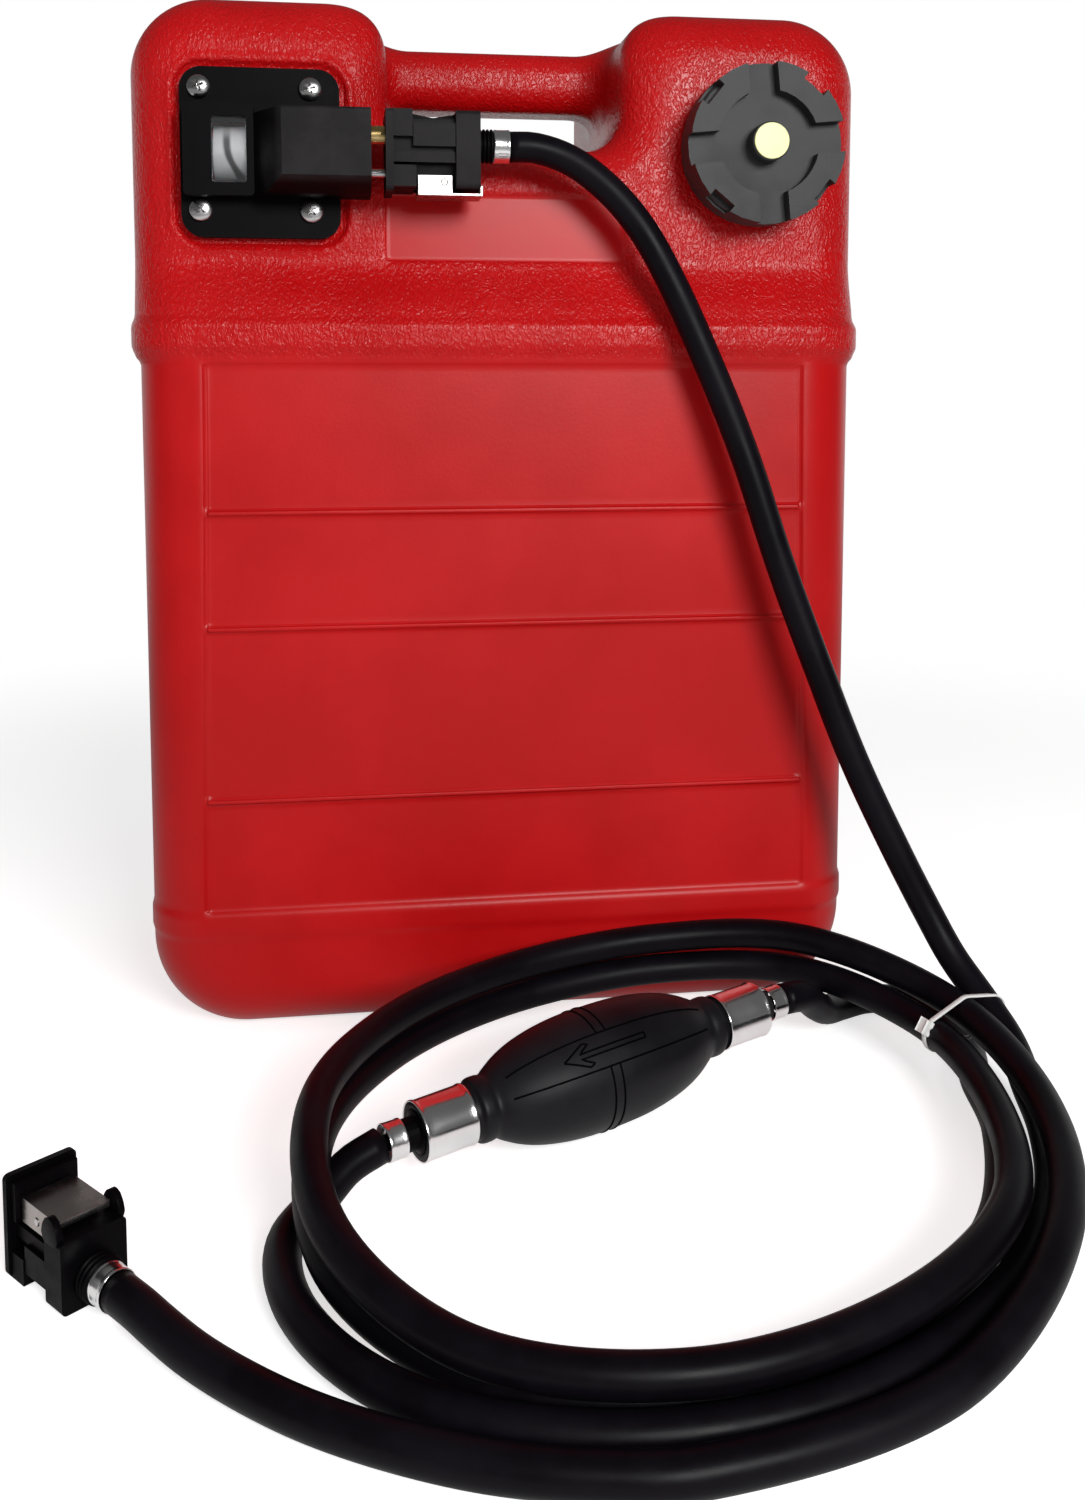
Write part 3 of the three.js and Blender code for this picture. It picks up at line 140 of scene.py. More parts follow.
def add(tree, kind, links=(), **values):
    """A node with its settings, and its inputs linked from a list of (input, output) pairs."""
    node = tree.nodes.new(kind)
    for key, value in values.items():
        if key in node.inputs:
            node.inputs[key].default_value = value
        else:
            setattr(node, key, value)
    for label, output in links:
        tree.links.new(output, node.inputs[label])
    return node


def maths(tree, operation, *terms, clamp=False):
    """A math node on sockets or numbers."""
    node = tree.nodes.new("ShaderNodeMath")
    node.operation = operation
    node.use_clamp = clamp
    for i, term in enumerate(terms):
        if isinstance(term, (int, float)):
            node.inputs[i].default_value = term
        else:
            tree.links.new(term, node.inputs[i])
    return node.outputs[0]


def spread(tree, value, low, high, to_low=0.0, to_high=1.0):
    """A value carried from one range to another, clamped and eased at both ends."""
    node = tree.nodes.new("ShaderNodeMapRange")
    node.interpolation_type = "SMOOTHSTEP"
    tree.links.new(value, node.inputs["Value"])
    for label, number in zip(("From Min", "From Max", "To Min", "To Max"), (low, high, to_low, to_high)):
        node.inputs[label].default_value = number
    return node.outputs["Result"]


def place_axes(tree, output="Object"):
    """The three parts of a place on the object, or of a direction into the room."""
    place = add(tree, "ShaderNodeTexCoord").outputs[output]
    split = add(tree, "ShaderNodeSeparateXYZ", [("Vector", place)])
    return [split.outputs[axis] for axis in "XYZ"]


# %% Shared effects


def leather_grain():
    """Short wrinkles a millimetre or two apart that flow in bundles, as etched into a mould."""
    group, start, end, place = new_group("leather_grain", [("Scale", 420.0), ("Warp", 0.9)])
    flow = add(group, "ShaderNodeTexNoise", [("Vector", place)], Scale=34.0, Detail=1.0)
    warp = add(group, "ShaderNodeTexNoise", [
        ("Vector", place), ("Scale", maths(group, "MULTIPLY", start.outputs["Scale"], 0.55))], Detail=2.0)
    both = add(group, "ShaderNodeVectorMath", operation="MULTIPLY_ADD")
    group.links.new(flow.outputs["Color"], both.inputs[0])
    both.inputs[1].default_value = (7, 7, 7)
    group.links.new(warp.outputs["Color"], both.inputs[2])
    shifted = add(group, "ShaderNodeVectorMath", operation="SCALE")
    group.links.new(both.outputs["Vector"], shifted.inputs[0])
    amount = maths(group, "DIVIDE", start.outputs["Warp"], start.outputs["Scale"])
    group.links.new(maths(group, "MULTIPLY", amount, 1.6), shifted.inputs["Scale"])
    moved = add(group, "ShaderNodeVectorMath", operation="ADD")
    group.links.new(place, moved.inputs[0])
    group.links.new(shifted.outputs["Vector"], moved.inputs[1])
    squeeze = add(group, "ShaderNodeVectorMath", operation="MULTIPLY")
    group.links.new(moved.outputs["Vector"], squeeze.inputs[0])
    squeeze.inputs[1].default_value = (1.0, 1.0, 0.5)
    ridges = add(group, "ShaderNodeTexNoise", [
        ("Vector", squeeze.outputs["Vector"]), ("Scale", start.outputs["Scale"])], Detail=1.5)
    group.links.new(spread(group, ridges.outputs["Fac"], 0.36, 0.64), end.inputs["Value"])
    return group


def mould_texture():
    """The fine even roughness of moulded plastic or rubber."""
    group, start, end, place = new_group("mould_texture", [("Scale", 1800.0)])
    fine = add(group, "ShaderNodeTexNoise", [
        ("Vector", place), ("Scale", start.outputs["Scale"])], Detail=4.0, Roughness=0.6)
    group.links.new(fine.outputs["Fac"], end.inputs["Value"])
    return group


def handling_smudges():
    """Soft uneven patches, from handling and from how the plastic cooled."""
    group, start, end, place = new_group("handling_smudges", [("Scale", 14.0)])
    broad = add(group, "ShaderNodeTexNoise", [
        ("Vector", place), ("Scale", start.outputs["Scale"])], Detail=5.0, Roughness=0.62)
    group.links.new(spread(group, broad.outputs["Fac"], 0.35, 0.68), end.inputs["Value"])
    return group


def turned_streaks():
    """Fine lines along one direction, left by rolling, turning or brushing. Thin and long in X."""
    group, start, end, place = new_group("turned_streaks", [("Scale", 900.0), ("Length", 0.06)])
    squeeze = add(group, "ShaderNodeCombineXYZ", Y=1.0, Z=1.0)
    group.links.new(start.outputs["Length"], squeeze.inputs["X"])
    stretched = add(group, "ShaderNodeVectorMath", operation="MULTIPLY")
    group.links.new(place, stretched.inputs[0])
    group.links.new(squeeze.outputs["Vector"], stretched.inputs[1])
    lines = add(group, "ShaderNodeTexNoise", [
        ("Vector", stretched.outputs["Vector"]), ("Scale", start.outputs["Scale"])], Detail=3.0)
    group.links.new(lines.outputs["Fac"], end.inputs["Value"])
    return group


GRAIN, TEXTURE = leather_grain(), mould_texture()
SMUDGES, STREAKS = handling_smudges(), turned_streaks()
print("shared effects:", ", ".join(g.name for g in (GRAIN, TEXTURE, SMUDGES, STREAKS)))

# %% Material helpers


def effect(tree, group, **values):
    """A shared effect placed in a material with its own values."""
    node = tree.nodes.new("ShaderNodeGroup")
    node.node_tree = group
    for label, value in values.items():
        node.inputs[label].default_value = value
    return node.outputs["Value"]


def finish(name, **shader):
    """A material whose Principled shader has these plain values."""
    material = bpy.data.materials.new(name)
    material.use_nodes = True
    surface = material.node_tree.nodes["Principled BSDF"]
    for label, value in shader.items():
        surface.inputs[label.replace("_", " ")].default_value = value
    return material, material.node_tree, surface


def tinted(tree, surface, dark, light, mask):
    """The base colour runs from dark to light by the mask."""
    mix = tree.nodes.new("ShaderNodeMix")
    mix.data_type = "RGBA"
    mix.inputs["A"].default_value = (*dark, 1)
    mix.inputs["B"].default_value = (*light, 1)
    tree.links.new(mask, mix.inputs["Factor"])
    tree.links.new(mix.outputs["Result"], surface.inputs["Base Color"])


def bumped(tree, surface, height, depth):
    """A bump of that depth in metres, from a height between 0 and 1."""
    bump = add(tree, "ShaderNodeBump", [("Height", height)], Strength=1.0, Distance=depth)
    tree.links.new(bump.outputs["Normal"], surface.inputs["Normal"])


def simple_finish(name, dark, light, rough, depth, scale=1800.0, **shader):
    """A finish with smudges in colour and roughness and a fine mould texture."""
    material, tree, surface = finish(name, **shader)
    smudge = effect(tree, SMUDGES, Scale=22.0)
    texture = effect(tree, TEXTURE, Scale=scale)
    tinted(tree, surface, dark, light, smudge)
    tree.links.new(spread(tree, smudge, 0, 1, *rough), surface.inputs["Roughness"])
    bumped(tree, surface, texture, depth)
    return material


def metal_finish(name, dark, light, rough, depth, length=0.06):
    """Bright metal with fine streaks that vary its colour and roughness."""
    material, tree, surface = finish(name, Metallic=1.0)
    streak = effect(tree, STREAKS, Length=length)
    smudge = effect(tree, SMUDGES, Scale=60.0)
    mask = maths(tree, "MULTIPLY", streak, maths(tree, "ADD", smudge, 0.6), clamp=True)
    tinted(tree, surface, dark, light, mask)
    tree.links.new(spread(tree, mask, 0.2, 0.8, *rough), surface.inputs["Roughness"])
    bumped(tree, surface, streak, depth)
    return material


# %% [markdown]
# The tank is red polyethylene. Above the belt its mould was etched with a coarse leather grain, the
# label panel and the base were left nearly smooth, and the small capacity patch is smooth and
# glossy. One material covers them all: masks made from the height and place on the tank choose how
# deep the grain is and how rough the surface.

# %% Red shell
BELT_GRAIN_LOW = 0.322
BELT_GRAIN_HIGH = 0.327
PATCH_MIDDLE = (-0.001, 0.385)
PATCH_HALF = (0.057, 0.0158)
PANEL_LOW, PANEL_TOP = 0.063, 0.321
PANEL_SIDES = (0.145, 0.141)
PANEL_LINES = (0.1162, 0.1981, 0.2524)
FLAT_FACE = (0.085, 0.088)
FRONT_FACE = (-0.08, -0.07)


def near_patch(tree, x, z):
    """One on the bare patch below the outlet, where the shell is smooth."""
    sides = []
    for value, middle, half in zip((x, z), PATCH_MIDDLE, PATCH_HALF):
        off = maths(tree, "ABSOLUTE", maths(tree, "SUBTRACT", value, middle))
        sides.append(spread(tree, off, half - MM / 2, half, 1.0, 0.0))
    return maths(tree, "MULTIPLY", *sides)


def panel_lines(tree, x, y, z):
    """Crisp edges of the label panel and of its three ribs, finer than the net of faces can carry."""
    rise = spread(tree, z, PANEL_LOW, PANEL_TOP, *PANEL_SIDES)
    off = maths(tree, "SUBTRACT", maths(tree, "ABSOLUTE", x), rise)
    inside = spread(tree, off, -MM, -MM / 2, 1.0, 0.0)
    flat = spread(tree, maths(tree, "ABSOLUTE", y), *FLAT_FACE)
    edge = spread(tree, maths(tree, "ABSOLUTE", off), 0.0003, 0.0014, 1.0, 0.0)
    total = maths(tree, "MULTIPLY", edge, -0.5)
    for at in PANEL_LINES:
        near = maths(tree, "ABSOLUTE", maths(tree, "SUBTRACT", z, at))
        line = maths(tree, "MULTIPLY", spread(tree, near, 0.0004, 0.0014, 0.9, 0.0), inside)
        total = maths(tree, "ADD", total, line)
    between = maths(tree, "MULTIPLY", spread(tree, z, PANEL_LOW, PANEL_LOW + MM),
                    spread(tree, z, PANEL_TOP - MM, PANEL_TOP, 1.0, 0.0))
    return maths(tree, "MULTIPLY", total, maths(tree, "MULTIPLY", flat, between))


def red_shell():
    material, tree, surface = finish("red_shell", Specular_IOR_Level=0.24)
    x, y, z = place_axes(tree)
    front = spread(tree, y, *FRONT_FACE, 1.0, 0.0)
    patch = maths(tree, "MULTIPLY", near_patch(tree, x, z), front)
    coarse = maths(tree, "MULTIPLY", spread(tree, z, BELT_GRAIN_LOW, BELT_GRAIN_HIGH),
                   maths(tree, "SUBTRACT", 1.0, patch))
    smudge = effect(tree, SMUDGES, Scale=9.0)
    wrinkle = effect(tree, GRAIN, Scale=760.0, Warp=0.8)
    fine = effect(tree, TEXTURE, Scale=700.0)
    tinted(tree, surface, (0.42, 0.0026, 0.0036), (0.50, 0.0040, 0.0055), smudge)
    rough = maths(tree, "ADD", spread(tree, coarse, 0, 1, 0.33, 0.25), maths(tree, "MULTIPLY", smudge, 0.05))
    rough = maths(tree, "SUBTRACT", rough, maths(tree, "MULTIPLY", patch, 0.03))
    tree.links.new(rough, surface.inputs["Roughness"])
    strong = maths(tree, "MULTIPLY", maths(tree, "MULTIPLY", wrinkle, coarse), 0.5)
    gentle = maths(tree, "MULTIPLY", maths(tree, "MULTIPLY", fine, 0.10),
                   maths(tree, "SUBTRACT", 1.0, maths(tree, "MULTIPLY", patch, 0.8)))
    height = maths(tree, "ADD", maths(tree, "ADD", strong, gentle), panel_lines(tree, x, y, z))
    bumped(tree, surface, height, 0.0005)
    return material


SHELL = red_shell()

# %% [markdown]
# The fittings are matt black nylon, the hoses and the bulb a smoother black rubber, the ferrules and
# bands bright rolled steel, and the fuel pin turned brass. The dial's lens is clear acrylic.

# %% Other finishes
# Depths of the front band where the black plastic is lighter, from dust and painted sheen.
DUST_AND_SHEEN_FROM = (-0.1205, -0.1145)
DUST_AND_SHEEN_TO = (-0.2, -0.19)


def fitting_plastic():
    """Matt black nylon. What stands well out at the front is lighter: partly dust from handling, partly a
    painted sheen.
    """
    material, tree, surface = finish("black_plastic", Specular_IOR_Level=0.05)
    depth = place_axes(tree)[1]
    smudge = effect(tree, SMUDGES, Scale=60.0)
    texture = effect(tree, TEXTURE, Scale=1500.0)
    # Lighter in a band well out at the front: dust and painted sheen.
    ahead = maths(tree, "MULTIPLY", spread(tree, depth, *DUST_AND_SHEEN_FROM, 1.0, 0.06),
                  spread(tree, depth, *DUST_AND_SHEEN_TO))
    tinted(tree, surface, (0.0020, 0.0016, 0.0021), (0.022, 0.0205, 0.0215),
           maths(tree, "MULTIPLY", maths(tree, "ADD", maths(tree, "MULTIPLY", smudge, 0.45), 0.55), ahead))
    tree.links.new(spread(tree, smudge, 0, 1, 0.38, 0.52), surface.inputs["Roughness"])
    bumped(tree, surface, texture, 0.00005)
    return material


PLASTIC = fitting_plastic()
CAP_PLASTIC = simple_finish(
    "cap_plastic", (0.020, 0.020, 0.0205), (0.040, 0.040, 0.041), (0.48, 0.62), 0.00010, 1100.0,
    Specular_IOR_Level=0.3)
HOSE_RUBBER = simple_finish(
    "hose_rubber", (0.0026, 0.0019, 0.0031), (0.0048, 0.0038, 0.0060), (0.36, 0.48), 0.00003, 1300.0,
    Specular_IOR_Level=0.09)
BULB_RUBBER = simple_finish(
    "bulb_rubber", (0.0045, 0.004, 0.0055), (0.0085, 0.008, 0.010), (0.40, 0.52), 0.00004, 1600.0,
    Specular_IOR_Level=0.18)
# Darker and duller than the bulb: painted shade along the bulb's raised lines.
LINE_RUBBER_PAINTED_SHADE = simple_finish(
    "line_rubber_painted_shade", (0.0010, 0.0009, 0.0012), (0.0020, 0.0018, 0.0024), (0.75, 0.9), 0.00003, 1600.0,
    Specular_IOR_Level=0.02)
SEAL_RUBBER = simple_finish(
    "seal_rubber", (0.010, 0.010, 0.010), (0.018, 0.018, 0.018), (0.6, 0.75), 0.00004)
STEEL = metal_finish("bright_steel", (0.46, 0.45, 0.45), (0.74, 0.73, 0.73), (0.16, 0.30), 0.00001)
ROLLED = simple_finish(
    "rolled_steel", (0.88, 0.87, 0.87), (0.97, 0.96, 0.96), (0.16, 0.24), 0.000004, 260.0, Metallic=1.0)
PRESSED = simple_finish(
    "pressed_steel", (0.40, 0.37, 0.35), (0.56, 0.53, 0.51), (0.22, 0.34), 0.00002, 500.0, Metallic=1.0)
BRASS = metal_finish("turned_brass", (0.55, 0.36, 0.12), (0.86, 0.64, 0.30), (0.16, 0.30), 0.00002)
DISC = simple_finish(
    "pale_disc", (0.84, 0.83, 0.42), (0.89, 0.88, 0.49), (0.45, 0.55), 0.00002)
NYLON = simple_finish(
    "white_nylon", (0.74, 0.74, 0.72), (0.86, 0.86, 0.85), (0.35, 0.5), 0.00002)
FOAM = simple_finish(
    "float_foam", (0.03, 0.03, 0.033), (0.055, 0.055, 0.06), (0.8, 0.95), 0.00025, 700.0)
LENS = simple_finish(
    "clear_lens", (0.95, 0.97, 0.98), (1.0, 1.0, 1.0), (0.02, 0.06), 0.000005,
    Transmission_Weight=1.0, IOR=1.49)
SLOT_OF = {
    "red_shell": SHELL, "black_plastic": PLASTIC, "black_rubber": SEAL_RUBBER,
    "bright_steel": STEEL, "brass": BRASS, "pale_disc": DISC, "clear_lens": LENS,
    "white_nylon": NYLON, "float_foam": FOAM,
}
for row in frame["record"]["subparts"]:
    mesh = nodes[row["node"]].data
    mesh.materials.clear()
    mesh.materials.append(SLOT_OF[row["material_slot"]])
print(f"{len(bpy.data.materials)} materials")

# %% [markdown]
# Every new piece goes through one small function. It links the piece, names its material, says which solids
# it stands for and which body it moves with.

# %% Piece helpers


def settle(name, mesh, material, slot_name, body, *stands_for):
    """Links a mesh as a piece that rides on a body, if one is named, and stands for CAD nodes."""
    piece = bpy.data.objects.new(name, mesh)
    bpy.context.scene.collection.objects.link(piece)
    mesh.materials.clear()
    mesh.materials.append(material)
    if body:
        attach(piece, body)
    if stands_for:
        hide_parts(*stands_for)
    return piece


def mesh_from(name, points, faces, smooth=True):
    """A mesh from points in millimetres and lists of corners."""
    mesh = bpy.data.meshes.new(name)
    mesh.from_pydata((np.asarray(points, float) * MM).tolist(), [], faces)
    if smooth:
        mesh.shade_smooth()
    return mesh


# %% [markdown]
# The hoses are the first shapes, because their routes fill a third of the picture. Each follows the
# same points as its solid, on a centripetal spline, which keeps curves even where points are
# unevenly spaced. A hose is then one round tube swept along that line. The sweep carries its cross
# section from step to step without twist.

# %% Hose line helpers


def through(points, per_span):
    """Places along a centripetal spline through the points, in millimetres."""
    spots = np.asarray(points, float)
    first, last = 2 * spots[0] - spots[1], 2 * spots[-1] - spots[-2]
    all_spots = np.vstack([first, spots, last])
    line = []
    for i in range(1, len(all_spots) - 2):
        p0, p1, p2, p3 = all_spots[i - 1:i + 3]
        a, b, c = (max(np.linalg.norm(q - p) ** 0.5, 1e-6) for p, q in ((p0, p1), (p1, p2), (p2, p3)))
        start = ((p1 - p0) / a - (p2 - p0) / (a + b) + (p2 - p1) / b) * b
        end = ((p2 - p1) / b - (p3 - p1) / (b + c) + (p3 - p2) / c) * b
        for k in range(per_span):
            t = k / per_span
            line.append(p1 + start * t + (3 * (p2 - p1) - 2 * start - end) * t ** 2
                        + (2 * (p1 - p2) + start + end) * t ** 3)
    return np.array(line + [spots[-1]])


def line_length(line):
    return float(np.linalg.norm(np.diff(line, axis=0), axis=1).sum())


def even_line(line, step):
    """The same line with points a fixed step apart."""
    reach = np.concatenate([[0], np.cumsum(np.linalg.norm(np.diff(line, axis=0), axis=1))])
    spots = np.linspace(0, reach[-1], max(int(reach[-1] / step), 2) + 1)
    return np.stack([np.interp(spots, reach, line[:, axis]) for axis in range(3)], axis=1)


def carried_frames(line):
    """Directions along the line, and two sideways ones that don't twist about it."""
    ahead = np.gradient(line, axis=0)
    ahead /= np.linalg.norm(ahead, axis=1)[:, None]
    side = np.cross(ahead[0], (0, 0, 1))
    if np.linalg.norm(side) < 0.01:
        side = np.cross(ahead[0], (0, 1, 0))
    sides = []
    for direction in ahead:
        side = side - direction * (side @ direction)
        side = side / np.linalg.norm(side)
        sides.append(side)
    sides = np.array(sides)
    return ahead, sides, np.cross(sides, ahead)


def swept(line, radii, sides):
    """Points and faces of a round tube along a line, with flat ends. One radius or one per point."""
    ahead, side, rise = carried_frames(line)
    around = np.linspace(0, 2 * math.pi, sides, endpoint=False)
    radii = np.broadcast_to(radii, len(line))[:, None, None]
    ring = side[:, None] * np.cos(around)[None, :, None] + rise[:, None] * np.sin(around)[None, :, None]
    points = (line[:, None] + ring * radii).reshape(-1, 3)
    faces = []
    for i in range(len(line) - 1):
        for k in range(sides):
            a, b = i * sides + k, i * sides + (k + 1) % sides
            faces.append((a, b, b + sides, a + sides))
    last = (len(line) - 1) * sides
    faces.append(tuple(range(sides))[::-1])
    faces.append(tuple(range(last, last + sides)))
    return points, faces


# %% Hose routes
HOSE = 13.8
HOSE_PITCH = 14.6
HOSE_REST = 7.1
TANK_LEAD = [
    (-2.2, -108, 419), (9, -108, 418.9), (25, -108, 414), (42, -107.5, 402.5), (58, -108, 385),
    (72, -110, 361), (91, -114, 319), (107, -118, 278), (124, -122, 226), (141, -127, 179),
    (158, -131, 135), (177, -135.5, 94), (192, -142, 63), (200.5, -150.5, 45), (208.5, -167, 30.5),
    (212, -188, 19.8), (208.5, -212, 11.3), (201, -242, 8.5), (182.5, -284, 7.1), (153, -323, 7.1),
    (109, -358.5, 7.1), (57, -380.8, 7.1), (1, -385, 7.1), (-47.5, -371, 7.1), (-80.5, -344.5, 7.1),
    (-100.5, -308.5, 7.1), (-103.5, -273, 7.1), (-91, -252, 10), (-81, -242.3, 16),
    (-68.7, -235.7, 19.7),
]
BULB_LEAD = [
    (115.5, -158, 32.5), (127.5, -151.5, 30.4), (138.5, -139.5, 20), (149, -125, 11),
    (161, -113.5, 7.4), (175.5, -107.8, 7.1), (190, -111, 7.1), (200, -123, 7.1), (204, -141, 7.1),
    (202.5, -166, 7.1), (193, -194.5, 7.1),
]
ENGINE_LEAD = [
    (-12, -399, 7.1), (-41, -391.5, 7.1), (-68, -379.5, 7.1), (-93.5, -364, 7.1),
    (-114.5, -347, 7.2), (-131, -330.9, 7.7), (-142.3, -318.3, 9), (-149.5, -309.9, 10.1),
    (-154.5, -303.9, 10.3), (-157.6, -300.1, 10.3),
]
COIL_MIDDLE = (45, -239)
COIL_LONG = 306
COIL_SHORT = 251
COIL_TURN = math.pi / 4
COIL_START = -math.pi * 50 / 180
COIL_STEP = math.pi / 6
COIL_REACH_SHARES = [
    0.05, -0.3, -0.5, -0.5, -0.45, -0.1, 0.05, 0.1, 0.15, -0.15, 0.05, 0, -0.25, 0.15, 0.02, 0,
    0, 0, 0.05, 0.1, 0.15, -0.15, 0.12, 1, 1.1, 1.42, 1.62, 1.56,
]
COIL_LIFT_SHARES = [
    0, 0, 0, 0, 0.08, 0.6, 1.22, 1.15, 1.05, 1.3, 1.42, 1.1, 1.05, 0.96, 0.9, 0.88,
    1, 1.62, 2.26, 2.19, 2.09, 2.36, 2.5, 1.67, 1.14, 0.8, 0.15, 0,
]


def coil_stations():
    """Points of the coil: a turned ellipse with a reach and a lift at every thirty degrees."""
    stations = []
    for i, (reach, lift) in enumerate(zip(COIL_REACH_SHARES, COIL_LIFT_SHARES)):
        angle = COIL_START - i * COIL_STEP
        along = (COIL_LONG / 2 + reach * HOSE_PITCH) * math.cos(angle)
        across = (COIL_SHORT / 2 + reach * HOSE_PITCH) * math.sin(angle)
        stations.append((
            COIL_MIDDLE[0] + along * math.cos(COIL_TURN) - across * math.sin(COIL_TURN),
            COIL_MIDDLE[1] + along * math.sin(COIL_TURN) + across * math.cos(COIL_TURN),
            HOSE_REST + lift * HOSE_PITCH))
    return stations


tank_line = even_line(through(TANK_LEAD, 24), 4)
rest_line = even_line(through(BULB_LEAD + coil_stations() + ENGINE_LEAD, 24), 4)
print(f"hose lengths {line_length(tank_line):.0f} and {line_length(rest_line):.0f} mm")

# %% Hoses
HOSE_SIDES = 28


def hose(name, line, stands_for, bends=()):
    """A hose with its real length. Without bends it rides on the tank; with bends it rides on no body."""
    points, faces = swept(line, HOSE / 2, HOSE_SIDES)
    body = None if bends else "tank"
    piece = settle(name, mesh_from(name, points, faces), HOSE_RUBBER, "black_rubber", body, *stands_for)
    if bends:
        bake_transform(piece)
    return piece


# %% [markdown]
# Round pieces are turned from a profile of radius and height. A profile of straight lines gives
# knife edges that no real part has, so each corner is first rounded by a small arc.

# %% Turning helpers


def eased(profile, bend, steps=4):
    """A profile whose corners are replaced by arcs, apart from its ends. A loop eases them all."""
    spots = [np.array(p, float) for p in profile]
    loop = np.allclose(spots[0], spots[-1])
    ring = spots[:-1] if loop else spots
    out = []
    for i, corner in enumerate(ring):
        if not loop and i in (0, len(ring) - 1):
            out.append(corner)
            continue
        before, after = ring[i - 1], ring[(i + 1) % len(ring)]
        to_before, to_after = before - corner, after - corner
        room = min(np.linalg.norm(to_before), np.linalg.norm(to_after)) * 0.45
        reach = min(bend, room)
        start = corner + to_before / np.linalg.norm(to_before) * reach
        end = corner + to_after / np.linalg.norm(to_after) * reach
        for k in range(steps + 1):
            t = k / steps
            out.append((1 - t) ** 2 * start + 2 * t * (1 - t) * corner + t ** 2 * end)
    return out + [out[0]] if loop else out


def turned(profile, sides, origin, axis):
    """Points and faces of a profile turned about an axis from an origin, in millimetres."""
    along = Vector(axis).normalized()
    turn = Vector((0, 0, 1)).rotation_difference(along).to_matrix()
    across, up = np.array(turn.col[0]), np.array(turn.col[1])
    along, origin = np.array(along), np.array(origin, float)
    loop = np.allclose(profile[0], profile[-1])
    rings, points, faces = [], [], []
    for radius, height in profile[:-1] if loop else profile:
        middle = origin + along * height
        if radius < 1e-6:
            rings.append([len(points)] * sides)
            points.append(middle)
            continue
        rings.append(list(range(len(points), len(points) + sides)))
        for k in range(sides):
            angle = 2 * math.pi * k / sides
            points.append(middle + radius * (across * math.cos(angle) + up * math.sin(angle)))
    pairs = list(zip(rings, rings[1:] + rings[:1])) if loop else list(zip(rings, rings[1:]))
    for low, high in pairs:
        for k in range(sides):
            n = (k + 1) % sides
            corners = list(dict.fromkeys((low[k], low[n], high[n], high[k])))
            if len(corners) > 2:
                faces.append(tuple(corners))
    return points, faces


def facing_out(mesh):
    """Turns every face outwards."""
    work = bmesh.new()
    work.from_mesh(mesh)
    bmesh.ops.recalc_face_normals(work, faces=work.faces)
    work.to_mesh(mesh)
    work.free()
    return mesh


def turned_piece(name, profile, origin, axis, material, slot_name, body, *stands_for, sides=64, bend=0.5):
    """A turned piece with eased corners. Flat faces stay crisp because the corners have arcs."""
    points, faces = turned(eased(profile, bend), sides, origin, axis)
    mesh = facing_out(mesh_from(name, points, faces))
    return settle(name, mesh, material, slot_name, body, *stands_for)


# %% [markdown]
# Moulded and pressed fittings keep the shape of their solid. What a solid lacks is the small radius
# on every edge, and that radius is what catches the light. A copy of the solid is cleaned of the
# lines inside flat faces and its sharp edges are bevelled.

# %% Edge-rounding helper


def softened(node, name, material, slot_name, width, segments=3, limit=32):
    """A copy of a CAD node with rounded edges, which stands for it."""
    source = nodes[node]
    work = bmesh.new()
    work.from_mesh(source.data)
    bmesh.ops.remove_doubles(work, verts=work.verts, dist=2e-6)
    bmesh.ops.dissolve_limit(
        work, angle_limit=math.radians(1.5), verts=work.verts, edges=work.edges)
    mesh = bpy.data.meshes.new(name)
    work.to_mesh(mesh)
    work.free()
    if "custom_normal" in mesh.attributes:
        mesh.attributes.remove(mesh.attributes["custom_normal"])
    mesh.shade_smooth()
    piece = settle(name, mesh, material, slot_name, source["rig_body"], node)
    bevel = piece.modifiers.new("edges", "BEVEL")
    bevel.width = width * MM
    bevel.segments = segments
    bevel.limit_method = "ANGLE"
    bevel.angle_limit = math.radians(limit)
    bevel.harden_normals = True
    bevel.use_clamp_overlap = True
    return piece


# %% [markdown]
# The tank is blow-moulded: hot plastic is blown against a cold mould, so every inside corner fills
# with a soft fillet and every outside one is generously round. Such a form is awkward to build from
# bevelled boxes, because the fillets of shoulders, valley, deck and carry bar run into each other.
# Here it is written as a distance field instead. Smooth joins of simple fields give the fillets, and
# a net of small faces is then stretched over the surface where the distance is zero.

# %% Distance field helpers


def ease(value, low, high):
    share = np.clip((value - low) / (high - low), 0, 1)
    return share * share * (3 - 2 * share)


def hump(value, low, high, soft):
    """A soft-edged step up and down again."""
    return ease(value, low - soft, low + soft) * (1 - ease(value, high - soft, high + soft))


def join_soft(a, b, soft):
    share = np.clip(0.5 + 0.5 * (b - a) / soft, 0, 1)
    return b + (a - b) * share - soft * share * (1 - share)


def plate(x, z, middle_x, middle_z, half_x, half_z, corner):
    """Distance to a rectangle with round corners."""
    out_x = np.abs(x - middle_x) - half_x + corner
    out_z = np.abs(z - middle_z) - half_z + corner
    outside = np.hypot(np.maximum(out_x, 0), np.maximum(out_z, 0))
    return outside + np.minimum(np.maximum(out_x, out_z), 0) - corner


